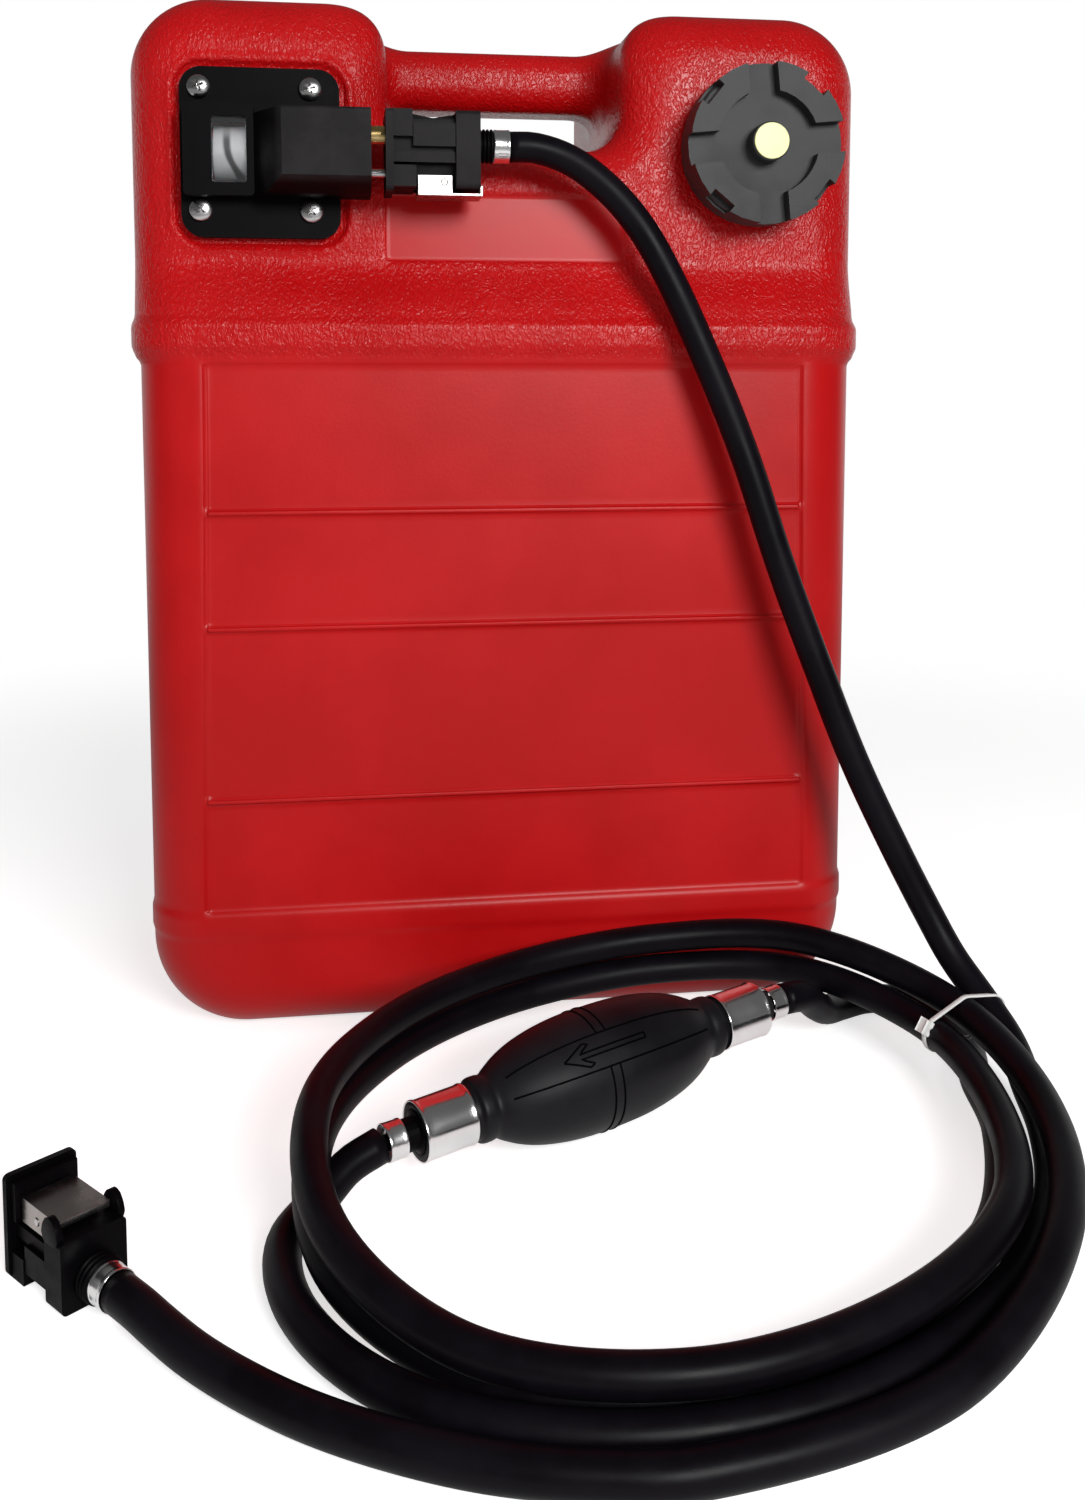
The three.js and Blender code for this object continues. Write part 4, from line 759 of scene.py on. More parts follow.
# %% Tank sizes
TANK_HALF = 175
WAIST_SET_IN = 2.5
TANK_HEIGHT = 491
TANK_HALF_DEPTH = 95
TANK_WALL = 4
BELT = 322
RAMP = 341
DECK = 368
DECK_SET_IN = 12
VALLEY = 424
VALLEY_HALF = 56
BASE_CORNER = 46
SHOULDER_CORNER = 37
SHOULDER_INNER = 25
VALLEY_CORNER = 17
BASE_CREST = (50, 62)
BELT_CREST = (327, 341)
GRIP_MIDDLE = 467
GRIP_HALF = (19, 15)
GRIP_CORNER = 12
PANEL_HALF = (145, 141)
PANEL_DEPTH = 1.2
PANEL_RIBS = (116.2, 198.1, 252.4)
GAUGE = (-114.5, 417)
POCKET_HALF = (39, 41.3)
POCKET_CORNER = 13
CAP = (118.5, 423.5)
FRONT = -83
NECK_RADIUS = 27
NECK_BORE = 23
NECK_TOP = -98
SEAT_BORE = 27


def outer_form(x, y, z, plain):
    """Distance to the tank's outer face, in millimetres. The plain one leaves out what is shallow."""
    crests = 0 if plain else 0.8 * hump(z, *BASE_CREST, 2) + 1.5 * hump(z, *BELT_CREST, 3)
    half = TANK_HALF - WAIST_SET_IN * (1 - ease(z, BELT - 1, BELT + 3)) + crests
    depth = TANK_HALF_DEPTH - DECK_SET_IN * ease(z, RAMP - 3, DECK + 3) + crests
    if not plain:
        depth = depth + face_detail(x, y, z)
    middle = TANK_HEIGHT / 2
    corner = np.where(z < middle, BASE_CORNER, SHOULDER_CORNER)
    outline = plate(x, z, 0, middle, half, middle, corner)
    high = TANK_HEIGHT - VALLEY
    notch = plate(x, z, 0, VALLEY + high, VALLEY_HALF, high, VALLEY_CORNER)
    outline = -join_soft(-outline, notch, SHOULDER_INNER * 1.17)
    edge = 29 - 5 * ease(z, RAMP, DECK) - 7 * ease(z, 385, VALLEY) * (1 - ease(np.abs(x), 45, 85))
    out, deep = outline + edge, np.abs(y) - depth + edge
    body = np.hypot(np.maximum(out, 0), np.maximum(deep, 0)) + np.minimum(np.maximum(out, deep), 0) - edge
    grip = plate(y, z, 0, GRIP_MIDDLE, *GRIP_HALF, GRIP_CORNER)
    grip = np.maximum(grip, np.abs(x) - VALLEY_HALF - SHOULDER_INNER)
    form = join_soft(body, grip, 14)
    if plain:
        return form
    neck = np.maximum(np.hypot(x - CAP[0], z - CAP[1]) - NECK_RADIUS, np.maximum(NECK_TOP - y, y - FRONT - 6))
    return join_soft(form, neck, 3)


def face_detail(x, y, z):
    """How far the front and back stand out beyond their plain face, from place to place."""
    share = np.clip((z - BASE_CREST[1]) / (BELT - BASE_CREST[1]), 0, 1)
    half = PANEL_HALF[0] + (PANEL_HALF[1] - PANEL_HALF[0]) * share
    panel = hump(z, BASE_CREST[1] + 1, BELT - 1, 1.2) * (1 - ease(np.abs(x) - half, -1.4, 1.4))
    ribs = sum(1 - ease(np.abs(z - at), 0.9, 2.3) for at in PANEL_RIBS)
    rise = panel * (1.15 * ribs - PANEL_DEPTH)
    pocket = plate(x, z, *GAUGE, *POCKET_HALF, POCKET_CORNER)
    rim = 0.9 * np.exp(-((pocket - 2.4) / 1.3) ** 2) - 2 * (1 - ease(pocket, -0.9, 0.9))
    patch = plate(x, z, PATCH_MIDDLE[0] / MM, PATCH_MIDDLE[1] / MM, PATCH_HALF[0] / MM, PATCH_HALF[1] / MM, 3)
    front_only = rim - 0.8 * (1 - ease(patch, -0.8, 0.8))
    return rise + np.where(y < 0, front_only, 0)


# %% [markdown]
# The net is made by a method called surface nets. Space is cut into small cells. Each cell that the
# surface passes through gets one vertex, at the mean of where the surface crosses the cell's edges,
# and the vertices of neighbouring cells are joined into four-sided faces. Each vertex is then moved
# along the field's slope until the distance there is nothing, so the faces lie on the true form.

# %% Surface net


def field_values(form, axes):
    """The field at every grid point, worked out in slabs to save memory."""
    slabs = [form(*np.meshgrid(part, axes[1], axes[2], indexing="ij")).astype(np.float32)
             for part in np.array_split(axes[0], 12)]
    return np.concatenate(slabs)


def net_vertices(field, low, step):
    """The crossed cells' vertices, and the number of each cell's vertex."""
    inside = field < 0
    size = np.array(field.shape) - 1
    corners = [(i, j, k) for i in (0, 1) for j in (0, 1) for k in (0, 1)]
    count = sum(inside[i:size[0] + i, j:size[1] + j, k:size[2] + k].astype(np.int8) for i, j, k in corners)
    crossed = (count > 0) & (count < 8)
    cells = np.argwhere(crossed)
    number = np.full(crossed.shape, -1, np.int64)
    number[crossed] = np.arange(len(cells))
    total, hits = np.zeros((len(cells), 3)), np.zeros(len(cells))
    for axis in range(3):
        unit = np.eye(3, dtype=int)[axis]
        for corner in corners:
            if corner[axis]:
                continue
            start = cells + corner
            one, two = field[tuple(start.T)], field[tuple((start + unit).T)]
            cross = (one < 0) != (two < 0)
            share = one[cross] / (one[cross] - two[cross])
            total[cross] += np.array(corner) + share[:, None] * unit
            hits[cross] += 1
    return low + step * (cells + total / hits[:, None]), number, inside


def net_faces(number, inside):
    """One face for every grid edge that crosses the surface."""
    faces = []
    for axis in range(3):
        b, c = (axis + 1) % 3, (axis + 2) % 3
        one = np.take(inside, range(inside.shape[axis] - 1), axis)
        two = np.take(inside, range(1, inside.shape[axis]), axis)
        edges = np.argwhere(one != two)
        edges = edges[(edges[:, b] > 0) & (edges[:, c] > 0)]
        unit = np.eye(3, dtype=int)
        corners = [edges, edges - unit[b], edges - unit[b] - unit[c], edges - unit[c]]
        quads = np.stack([number[tuple(spot.T)] for spot in corners], axis=1)
        flip = inside[tuple(edges.T)]
        quads[~flip] = quads[~flip][:, ::-1]
        faces.append(quads)
    return np.concatenate(faces)


def settled(form, points, rounds=2, reach=0.25):
    """Points moved along the field's slope onto the surface."""
    for _ in range(rounds):
        here = form(*points.T)
        slope = np.stack([
            (form(*(points + unit).T) - form(*(points - unit).T)) / (2 * reach)
            for unit in np.eye(3) * reach], axis=1)
        size = np.maximum((slope ** 2).sum(axis=1), 0.2)
        points = points - slope * (here / size)[:, None]
    return points


def net_mesh(name, form, low, high, step):
    """A closed mesh over the surface of a distance field."""
    axes = [np.arange(a, b + step, step) for a, b in zip(low, high)]
    points, number, inside = net_vertices(field_values(form, axes), np.array(low, float), step)
    faces = net_faces(number, inside)
    points = settled(form, points)
    mesh = bpy.data.meshes.new(name)
    mesh.vertices.add(len(points))
    mesh.vertices.foreach_set("co", (points * MM).astype(np.float32).ravel())
    mesh.loops.add(faces.size)
    mesh.loops.foreach_set("vertex_index", faces.astype(np.int32).ravel())
    mesh.polygons.add(len(faces))
    mesh.polygons.foreach_set("loop_start", np.arange(0, faces.size, 4, dtype=np.int32))
    mesh.update(calc_edges=True)
    mesh.validate()
    mesh.shade_smooth()
    return mesh


# %% Tank
NET_STEP = 1.7
INNER_STEP = 5.0


def cutter(name, mesh):
    """A helper object for a boolean cut."""
    tool = bpy.data.objects.new(name, mesh)
    bpy.context.scene.collection.objects.link(tool)
    return tool


def cut_away(piece, *tools):
    """Cuts closed tools out of a piece and deletes them."""
    for tool in tools:
        modifier = piece.modifiers.new("cut", "BOOLEAN")
        modifier.operation = "DIFFERENCE"
        modifier.solver = "MANIFOLD"
        modifier.object = tool
    bpy.context.view_layer.update()
    graph = bpy.context.evaluated_depsgraph_get()
    mesh = bpy.data.meshes.new_from_object(piece.evaluated_get(graph))
    piece.modifiers.clear()
    old, piece.data = piece.data, mesh
    bpy.data.meshes.remove(old)
    for tool in tools:
        data = tool.data
        bpy.data.objects.remove(tool)
        bpy.data.meshes.remove(data)
    return piece


def bore_tool(name, middle, radius, from_y, to_y):
    profile = [(0, from_y), (radius, from_y), (radius, to_y), (0, to_y)]
    points, faces = turned(profile, 96, (middle[0], 0, middle[1]), (0, 1, 0))
    return cutter(name, facing_out(mesh_from(name, points, faces)))


def tank():
    step = NET_STEP
    low, high = (-182, -103, -5), (182, 101, 497)
    outside = net_mesh("tank", lambda x, y, z: outer_form(x, y, z, False), low, high, step)
    inside = net_mesh(
        "tank_inside", lambda x, y, z: outer_form(x, y, z, True) + TANK_WALL, low, high, INNER_STEP)
    piece = settle("tank_shell", outside, SHELL, "red_shell", "tank", "tank_body")
    cut_away(
        piece, cutter("hollow", inside),
        bore_tool("neck_bore", CAP, NECK_BORE, NECK_TOP - 5, FRONT + 20),
        bore_tool("seat_bore", GAUGE, SEAT_BORE, FRONT - 10, FRONT + 20))
    piece.data.shade_smooth()
    piece.data.set_sharp_from_angle(angle=math.radians(40))
    return piece


shell = tank()
print(f"tank: {len(shell.data.vertices)} vertices")

# %% [markdown]
# The cap, the gauge housing and the connectors are moulded nylon. Their solids already have the right walls,
# lugs and slots, so they only need rounded edges. So do the pressed latches and the drum behind the gauge
# window. The drum has a finish of its own: a silvery tone with a dark streak on its face, a painted
# reflection of the window's lens.

# %% Moulded fittings
SOFT_EDGES = {
    "filler_cap": ("cap", CAP_PLASTIC, 0.6), "gauge_housing": ("gauge_case", PLASTIC, 0.5),
    "gauge_window": ("gauge_lens", LENS, 0.4), "tank_connector": ("plug_tank_side", PLASTIC, 0.4),
    "engine_connector": ("plug_engine_side", PLASTIC, 0.4),
}
DRUM_SIDES = (-0.1360, -0.1202)
DRUM_ENDS = (0.4038, 0.4327)


def drum_painted_reflection():
    """A painted reflection of the lens: a silvery tone with one dark streak that bends aside at its lower end
    and fades towards the top.
    """
    material, tree, surface = finish("gauge_drum_painted_reflection", Specular_IOR_Level=0.6, Roughness=0.3)
    x, _, z = place_axes(tree)
    across, height = spread(tree, x, *DRUM_SIDES), spread(tree, z, *DRUM_ENDS)
    bend = maths(tree, "POWER", maths(tree, "SUBTRACT", 1.0, height), 5.0)
    middle = maths(tree, "ADD", maths(tree, "MULTIPLY", bend, 0.5), 0.40)
    off = maths(tree, "ABSOLUTE", maths(tree, "SUBTRACT", across, middle))
    streak = maths(tree, "MULTIPLY", spread(tree, off, 0.07, 0.22, 1.0, 0.0),
                   spread(tree, height, 0.62, 0.92, 1.0, 0.3))
    # Silvery grey, nearly black along the streak: a painted reflection of the lens.
    tinted(tree, surface, (0.56, 0.56, 0.57), (0.022, 0.022, 0.024), streak)
    return material


for node, (name, material, width) in SOFT_EDGES.items():
    slot_name = "clear_lens" if node == "gauge_window" else "black_plastic"
    softened(node, name, material, slot_name, width)
for side in ("tank", "engine"):
    softened(f"{side}_latch", f"latch_{side}_side", PRESSED, "bright_steel", 0.25)
softened("gauge_drum", "drum_face", drum_painted_reflection(), "white_nylon", 0.2)
print("fittings with rounded edges:", len(SOFT_EDGES) + 3)

# %% [markdown]
# The vent knob and its pale disc are plain turned pieces. The screws have a low domed head with a
# cross recess, which is cut with two small tapered wedges.

# %% Vent knob
VENT_TOP = 22 + 0.3 + 1.4 + 0.3
turned_piece(
    "vent_button", [(0, 15), (2.5, 15), (2.5, VENT_TOP), (9, VENT_TOP), (9, VENT_TOP + 8), (0, VENT_TOP + 8)],
    (CAP[0], FRONT, CAP[1]), (0, -1, 0), CAP_PLASTIC, "black_plastic", "vent", "vent_knob", bend=0.8)
turned_piece(
    "vent_face", [(0, VENT_TOP + 8.1), (8.25, VENT_TOP + 8.1), (8.25, VENT_TOP + 9.2), (0, VENT_TOP + 9.2)],
    (CAP[0], FRONT, CAP[1]), (0, -1, 0), DISC, "pale_disc", "vent", "vent_disc", bend=0.4)

# %% Screws
SCREW_SPOTS = [(-27.2, -25.9), (-27.2, 29.1), (22.8, -25.9), (22.8, 29.1)]
SCREW_FACE = -2 + 1.6 + 0.3 + 4.5 + 0.15
SCREW_HEAD = 5.25
SCREW_SIDE = 1.2
SCREW_DOME = 2.1
SCREW_HEIGHT = 3.3


def cross_tool(name, middle, turn, top):
    """Two crossed wedges that narrow towards the bottom of the recess."""
    points, faces = [], []
    for quarter in (0, 1):
        angle = turn + quarter * math.pi / 2
        along = np.array((math.cos(angle), 0, math.sin(angle)))
        across = np.array((-math.sin(angle), 0, math.cos(angle)))
        start = len(points)
        for height, reach, half in ((top - 2.3, 1.2, 0.35), (top + 1, 3.4, 0.75)):
            for a, b in ((-1, -1), (1, -1), (1, 1), (-1, 1)):
                points.append(middle + along * reach * a + across * half * b + np.array((0, -height, 0)))
        faces += [tuple(start + i for i in face) for face in (
            (0, 1, 2, 3), (7, 6, 5, 4), (0, 4, 5, 1), (1, 5, 6, 2), (2, 6, 7, 3), (3, 7, 4, 0))]
    return points, faces


def screw(index, spot, turn):
    name = f"pan_screw_{index}"
    middle = np.array((GAUGE[0] + spot[0], FRONT, GAUGE[1] + spot[1]))
    dome = [(SCREW_HEAD * math.sin(a), SCREW_FACE + SCREW_SIDE + SCREW_DOME * math.cos(a))
            for a in np.linspace(0, math.pi / 2, 9)]
    profile = [(0, SCREW_FACE - 12), (2, SCREW_FACE - 10), (2, SCREW_FACE), (SCREW_HEAD, SCREW_FACE)]
    points, faces = turned(profile + dome[::-1], 48, middle, (0, -1, 0))
    mesh = facing_out(mesh_from(name, points, faces))
    piece = settle(name, mesh, STEEL, "bright_steel", "tank", f"gauge_screw_{index}")
    tools = []
    top = SCREW_FACE + SCREW_HEIGHT
    corners, walls = cross_tool(name, middle, turn, top)
    for half in (0, 1):
        part = mesh_from(f"{name}_tool", corners[half * 8:half * 8 + 8], [
            tuple(i - half * 8 for i in face) for face in walls[half * 6:half * 6 + 6]], False)
        tools.append(cutter(f"{name}_tool_{half}", facing_out(part)))
    cut_away(piece, *tools)
    piece.data.shade_smooth()
    piece.data.set_sharp_from_angle(angle=math.radians(35))
    return piece


for i, (spot, turn) in enumerate(zip(SCREW_SPOTS, (0.9, 0.35, 0.7, 0.2))):
    screw(i + 1, spot, turn)
print("four pan screws")

# %% [markdown]
# The primer bulb is turned from a smooth profile: a straight neck under each band, a shallow ring
# beside it, then the long swell of the belly. The raised lines, the seam and the flow arrow on its
# side are thin beads that follow the surface.

# %% Primer bulb
BULB_START = np.array((-63.8, -233.6, 20.1))
BULB_END = np.array((110.6, -160, 32.1))
BULB_AXIS = (BULB_END - BULB_START) / np.linalg.norm(BULB_END - BULB_START)
BULB_LENGTH = float(np.linalg.norm(BULB_END - BULB_START))
BULB_PROFILE = [
    (11, 10), (11, 34), (12.6, 35.5), (12.9, 39), (12.6, 42), (14.6, 45.5), (17.8, 51.5),
    (20.6, 59), (22.9, 69), (24.3, 80), (24.7, 90),
]


def bulb_line():
    """The bulb's outer profile as radius and height, smooth and the same from both ends."""
    half = [(r, 0, h) for r, h in BULB_PROFILE]
    whole = half + [(r, 0, BULB_LENGTH - h) for r, _, h in half[::-1]]
    return [(p[0], p[2]) for p in through(whole, 5)]


bulb_outline = bulb_line()
bulb_inside = [(8.8, BULB_LENGTH - 10), (8.8, 10)]
points, faces = turned(bulb_outline + bulb_inside + bulb_outline[:1], 96, BULB_START, BULB_AXIS)
bulb = settle(
    "bulb", facing_out(mesh_from("bulb", points, faces)), BULB_RUBBER, "black_rubber", "tank", "primer_bulb")
print(f"bulb: {BULB_LENGTH:.0f} mm between its ferrules")

# %% [markdown]
# The bead lines run on the bulb's skin: two along it that frame the arrow, the edges of a strap round its
# middle that stops at them, and the arrow's outline. Each is a thin tube, half sunk, in a darker and duller
# rubber than the bulb: painted shade along the raised lines.

# %% Lines on the bulb
BEAD = 0.42
PANEL_ANGLE = math.radians(12.5)
PANEL_SPREAD = math.radians(16.5)
STRAP_MIDDLE = -4.8
STRAP_HALF = 2.2
ARROW = [
    (0, 0), (10, 5), (12.4, 4.1), (7.2, 1.1), (38.5, 1.1), (38.5, -1.1), (7.2, -1.1), (12.4, -4.1), (10, -5),
    (0, 0),
]
ARROW_TIP = -25.5
bulb_middle = (BULB_START + BULB_END) / 2
to_camera = np.array(CAMERA_PLACE) / MM - bulb_middle
facing = to_camera - BULB_AXIS * (to_camera @ BULB_AXIS)
facing /= np.linalg.norm(facing)
upward = np.cross(BULB_AXIS, facing)
upward *= np.sign(upward[2])
skin = np.array(sorted((height, radius) for radius, height in bulb_outline))


def on_bulb(height, angle, lift=0.0):
    """A place on the bulb's skin, by its height along the axis and its angle up from the front."""
    radius = np.interp(height, skin[:, 0], skin[:, 1]) + lift
    outward = facing * math.cos(angle) + upward * math.sin(angle)
    return BULB_START + BULB_AXIS * height + outward * radius


def bead_lines():
    middle = BULB_LENGTH / 2
    lines = []
    for side in (-1, 1):
        angle = PANEL_ANGLE + side * PANEL_SPREAD
        lines.append([on_bulb(h, angle) for h in np.linspace(47, BULB_LENGTH - 47, 60)])
        reach = np.linspace(PANEL_SPREAD, math.pi, 30) * side + PANEL_ANGLE
        for edge in (STRAP_MIDDLE - STRAP_HALF, STRAP_MIDDLE + STRAP_HALF):
            lines.append([on_bulb(middle + edge, turn) for turn in reach])
    corners = [np.array(p, float) for p in ARROW]
    outline = [p + (q - p) * t for p, q in zip(corners, corners[1:]) for t in np.linspace(0, 1, 5)[:-1]]
    outline.append(corners[-1])
    reach = np.interp(middle, skin[:, 0], skin[:, 1])
    lines.append([on_bulb(middle + ARROW_TIP + u, PANEL_ANGLE + v / reach) for u, v in outline])
    return lines


def tubes(name, lines, radius, sides=8):
    """Several thin tubes as one mesh."""
    points, faces = [], []
    for line in lines:
        more, walls = swept(np.array(line), radius, sides)
        faces += [tuple(i + len(points) for i in wall) for wall in walls]
        points += list(more)
    return mesh_from(name, points, faces)


settle("bulb_lines", tubes("bulb_lines", bead_lines(), BEAD), LINE_RUBBER_PAINTED_SHADE, "black_rubber", "tank")

# %% [markdown]
# The bands and ferrules are thin steel tubes, rolled over at their ends. Crimping leaves them a
# little out of round, so their radius is varied gently round the axis and along it.

# %% Bulb fittings


def dented(points, origin, axis, depth, lobes, low, high):
    """Points moved in and out along their radius, most halfway along."""
    along = np.array(axis) / np.linalg.norm(axis)
    rel = np.asarray(points) - origin
    height = rel @ along
    outward = rel - height[:, None] * along
    radius = np.linalg.norm(outward, axis=1)
    side = np.cross(along, (0, 0, 1))
    angle = np.arctan2(outward @ np.cross(side, along), outward @ side)
    share = np.clip((height - low) / (high - low), 0, 1)
    push = depth * np.sin(math.pi * share) * (np.sin(lobes * angle + 3 * share) - 0.3 * np.sin(3 * angle + 1))
    return np.asarray(points) + outward * (push / radius)[:, None]


def steel_ring(name, profile, origin, axis, body, node, lobes, depth=0.16):
    points, faces = turned(eased(profile, 0.4), 96, origin, axis)
    heights = [h for _, h in profile]
    points = dented(points, origin, axis, depth, lobes, min(heights), max(heights))
    mesh = facing_out(mesh_from(name, points, faces))
    return settle(name, mesh, ROLLED, "bright_steel", body, node)


def ferrule_profile(low, high, bore=7.0, rim=7.5):
    """A short tube with a low bead near each end."""
    edge, waist = rim - 0.1, rim - 0.15
    return [
        (bore, low), (edge, low), (rim, low + 0.8), (waist, low + 1.6), (waist, high - 1.6),
        (rim, high - 0.8), (edge, high), (bore, high), (bore, low)]


BAND_PROFILE = [
    (11.3, 10), (11.9, 9.8), (12.1, 10.5), (11.8, 11.6), (11.75, 13), (11.75, 29), (11.8, 30.4),
    (12.1, 31.5), (11.9, 32.2), (11.3, 32), (11.3, 10),
]
for side, start, axis in (("tank", BULB_START, BULB_AXIS), ("engine", BULB_END, -BULB_AXIS)):
    steel_ring(f"band_{side}_side", BAND_PROFILE, start, axis, "tank", f"bulb_{side}_side_band", 5)
    steel_ring(
        f"ferrule_{side}_side", ferrule_profile(-3.75, 3.75), start, axis, "tank",
        f"bulb_{side}_side_crimp", 4, 0.07)

# %% [markdown]
# The cable tie is a thin nylon band drawn tight round the raised strands. Its path is the tight
# outline of their cross sections in the plane of the tie, and its head sits on the inner strand.

# %% Cable tie
TIE_PLACE = np.array((195.0, -177.0, 0.0))
TIE_TURN = 0.3
TIE_WIDTH, TIE_THICK = 2.5, 0.9
TIE_HEAD = (5.0, 4.4, 3.2)
TIE_HEAD_ANGLE = math.radians(147)
tie_across = np.array((math.cos(TIE_TURN), math.sin(TIE_TURN), 0))
tie_ahead = np.array((-math.sin(TIE_TURN), math.cos(TIE_TURN), 0))
UP = np.array((0.0, 0.0, 1.0))


def raised_strands(reach=45):
    """Where hoses that don't lie on the floor cross the tie's plane, as (across, height)."""
    found = []
    for line in (tank_line, rest_line):
        rel = line - TIE_PLACE
        side = rel @ tie_ahead
        for i in np.flatnonzero(side[:-1] * side[1:] < 0):
            spot = rel[i] + (rel[i + 1] - rel[i]) * side[i] / (side[i] - side[i + 1])
            if abs(spot @ tie_across) < reach and spot[2] > HOSE:
                found.append((spot @ tie_across, spot[2]))
    return sorted(found)


def tight_outline(spots):
    """The convex outline round a set of points, anticlockwise."""
    def half(ordered):
        chain = []
        for spot in ordered:
            while len(chain) > 1 and np.cross(chain[-1] - chain[-2], spot - chain[-2]) <= 0:
                chain.pop()
            chain.append(spot)
        return chain[:-1]
    ordered = [np.array(spot) for spot in sorted(map(tuple, spots))]
    return np.array(half(ordered) + half(ordered[::-1]))


def band_mesh(name, path, width, thick):
    """A flat band along a closed path of (across, height), with eased edges."""
    ahead = np.roll(path, -1, axis=0) - np.roll(path, 1, axis=0)
    ahead /= np.linalg.norm(ahead, axis=1)[:, None]
    outward = np.stack([ahead[:, 1], -ahead[:, 0]], axis=1)
    half, ease_by = width / 2, thick * 0.3
    section = [
        (-half, ease_by), (-half + ease_by, 0), (half - ease_by, 0), (half, ease_by),
        (half, thick - ease_by), (half - ease_by, thick), (-half + ease_by, thick), (-half, thick - ease_by)]
    points = [
        TIE_PLACE + tie_across * (spot[0] + out[0] * lift) + UP * (spot[1] + out[1] * lift) + tie_ahead * side
        for spot, out in zip(path, outward) for side, lift in section]
    count, size = len(path), len(section)
    faces = []
    for i in range(count):
        here, there = i * size, (i + 1) % count * size
        for k in range(size):
            n = (k + 1) % size
            faces.append((here + k, here + n, there + n, there + k))
    return facing_out(mesh_from(name, points, faces))


def rounded_mesh(name, work, bend):
    """A mesh from worked faces, with every edge rounded."""
    bmesh.ops.bevel(work, geom=work.edges, offset=bend * MM, segments=3, affect="EDGES", profile=0.5)
    bmesh.ops.recalc_face_normals(work, faces=work.faces)
    mesh = bpy.data.meshes.new(name)
    work.to_mesh(mesh)
    work.free()
    mesh.shade_smooth()
    mesh.set_sharp_from_angle(angle=math.radians(50))
    return mesh


def block_mesh(name, middle, axes, sizes, bend):
    """A box along three directions with rounded edges."""
    work = bmesh.new()
    bmesh.ops.create_cube(work, size=1)
    for vert in work.verts:
        shift = sum(axis * size * part for axis, size, part in zip(axes, sizes, vert.co))
        vert.co = Vector((middle + shift) * MM)
    return rounded_mesh(name, work, bend)


def merged(name, *meshes):
    """Several meshes as one."""
    work = bmesh.new()
    for mesh in meshes:
        work.from_mesh(mesh)
        bpy.data.meshes.remove(mesh)
    out = bpy.data.meshes.new(name)
    work.to_mesh(out)
    work.free()
    return out


def cable_tie():
    strands = raised_strands()
    radius = HOSE / 2 + 0.25
    turns = np.linspace(0, 2 * math.pi, 40, endpoint=False)
    path = tight_outline([
        (a + radius * math.cos(t), h + radius * math.sin(t)) for a, h in strands for t in turns])
    closed = even_line(np.column_stack([np.vstack([path, path[:1]]), np.zeros(len(path) + 1)]), 1.2)[:-1, :2]
    out = np.array((math.cos(TIE_HEAD_ANGLE), math.sin(TIE_HEAD_ANGLE)))
    seat = np.array(strands[0]) + out * (radius + TIE_HEAD[2] / 2)
    outward = tie_across * out[0] + UP * out[1]
    along = tie_across * -out[1] + UP * out[0]
    head = block_mesh(
        "head", TIE_PLACE + tie_across * seat[0] + UP * seat[1], (along, tie_ahead, outward), TIE_HEAD, 0.8)
    mesh = merged("cable_tie", band_mesh("band", closed, TIE_WIDTH, TIE_THICK), head)
    return settle("tie_band", mesh, NYLON, "white_nylon", "tank", "cable_tie")


cable_tie()
print("strands in the tie:", len(raised_strands()))

# %% [markdown]
# The ferrules at the two connectors are the same tube. So are the pins of the outlet: turned rods
# with a chamfered nose, the upper one bored for the fuel.

# %% Ferrules and pins at the connectors
TANK_PLUG = np.array((-58.8, -108, 414.6))
ENGINE_PLUG = np.array((-190.6, -260.2, 14.7))
ENGINE_TURN = -0.88
ENGINE_AXIS = np.array((math.cos(ENGINE_TURN), math.sin(ENGINE_TURN), 0))
HOSE_OFFSET = 4.4
steel_ring(
    "ferrule_tank_plug", ferrule_profile(48.95, 56.15), TANK_PLUG + (0, 0, HOSE_OFFSET), (1, 0, 0),
    "tank_connector", "tank_hose_crimp", 4, 0.07)
steel_ring(
    "ferrule_engine_plug", ferrule_profile(43.95, 51.15), ENGINE_PLUG - (0, 0, HOSE_OFFSET), ENGINE_AXIS,
    "tank", "engine_hose_crimp", 4, 0.07)
turned_piece(
    "brass_pin", [(2, 30), (4.2, 30), (4.2, 68.5), (3.4, 69.7), (2, 69.7), (2, 30)],
    (GAUGE[0], FRONT - 25, GAUGE[1] + 6), (1, 0, 0), BRASS, "brass", "tank", "fuel_pin")
turned_piece(
    "steel_pin", [(0, 30), (1.95, 30), (1.95, 69.7), (0.9, 71.4), (0, 71.6)],
    (GAUGE[0], FRONT - 25, GAUGE[1] - 10.8), (1, 0, 0), STEEL, "bright_steel", "tank", "locating_pin")

# %% [markdown]
# Each plug ends in a short ridged boot. The rear block of the engine plug also has an ear on either
# side of its latch, rounded at the top, which keeps the latch from being pushed sideways.

# %% Boots and ears
EAR_OUTLINE = [(25.2, -9), (35.4, -9), (35.4, -15.5), (30.3, -19.6), (25.2, -15.5)]
EAR_SIDES = ((-12.9, -10.4), (10.4, 12.9))


def boot_profile(start, length, low=6.7, high=7.6, ridges=4):
    profile = [(6.4, start)]
    pitch = length / ridges
    for i in range(ridges):
        at = start + pitch * i
        profile += [
            (low, at + 0.02), (high, at + pitch * 0.3), (high, at + pitch * 0.7), (low, at + pitch * 0.98)]
    return profile + [(6.4, start + length), (6.4, start)]


turned_piece(
    "boot_tank_plug", boot_profile(41.9, 6.9), TANK_PLUG + (0, 0, HOSE_OFFSET), (1, 0, 0),
    PLASTIC, "black_plastic", "tank_connector", bend=0.25)
turned_piece(
    "boot_engine_plug", boot_profile(36.9, 6.9, 6.9, 8.2, 3), ENGINE_PLUG - (0, 0, HOSE_OFFSET), ENGINE_AXIS,
    PLASTIC, "black_plastic", "tank", bend=0.3)


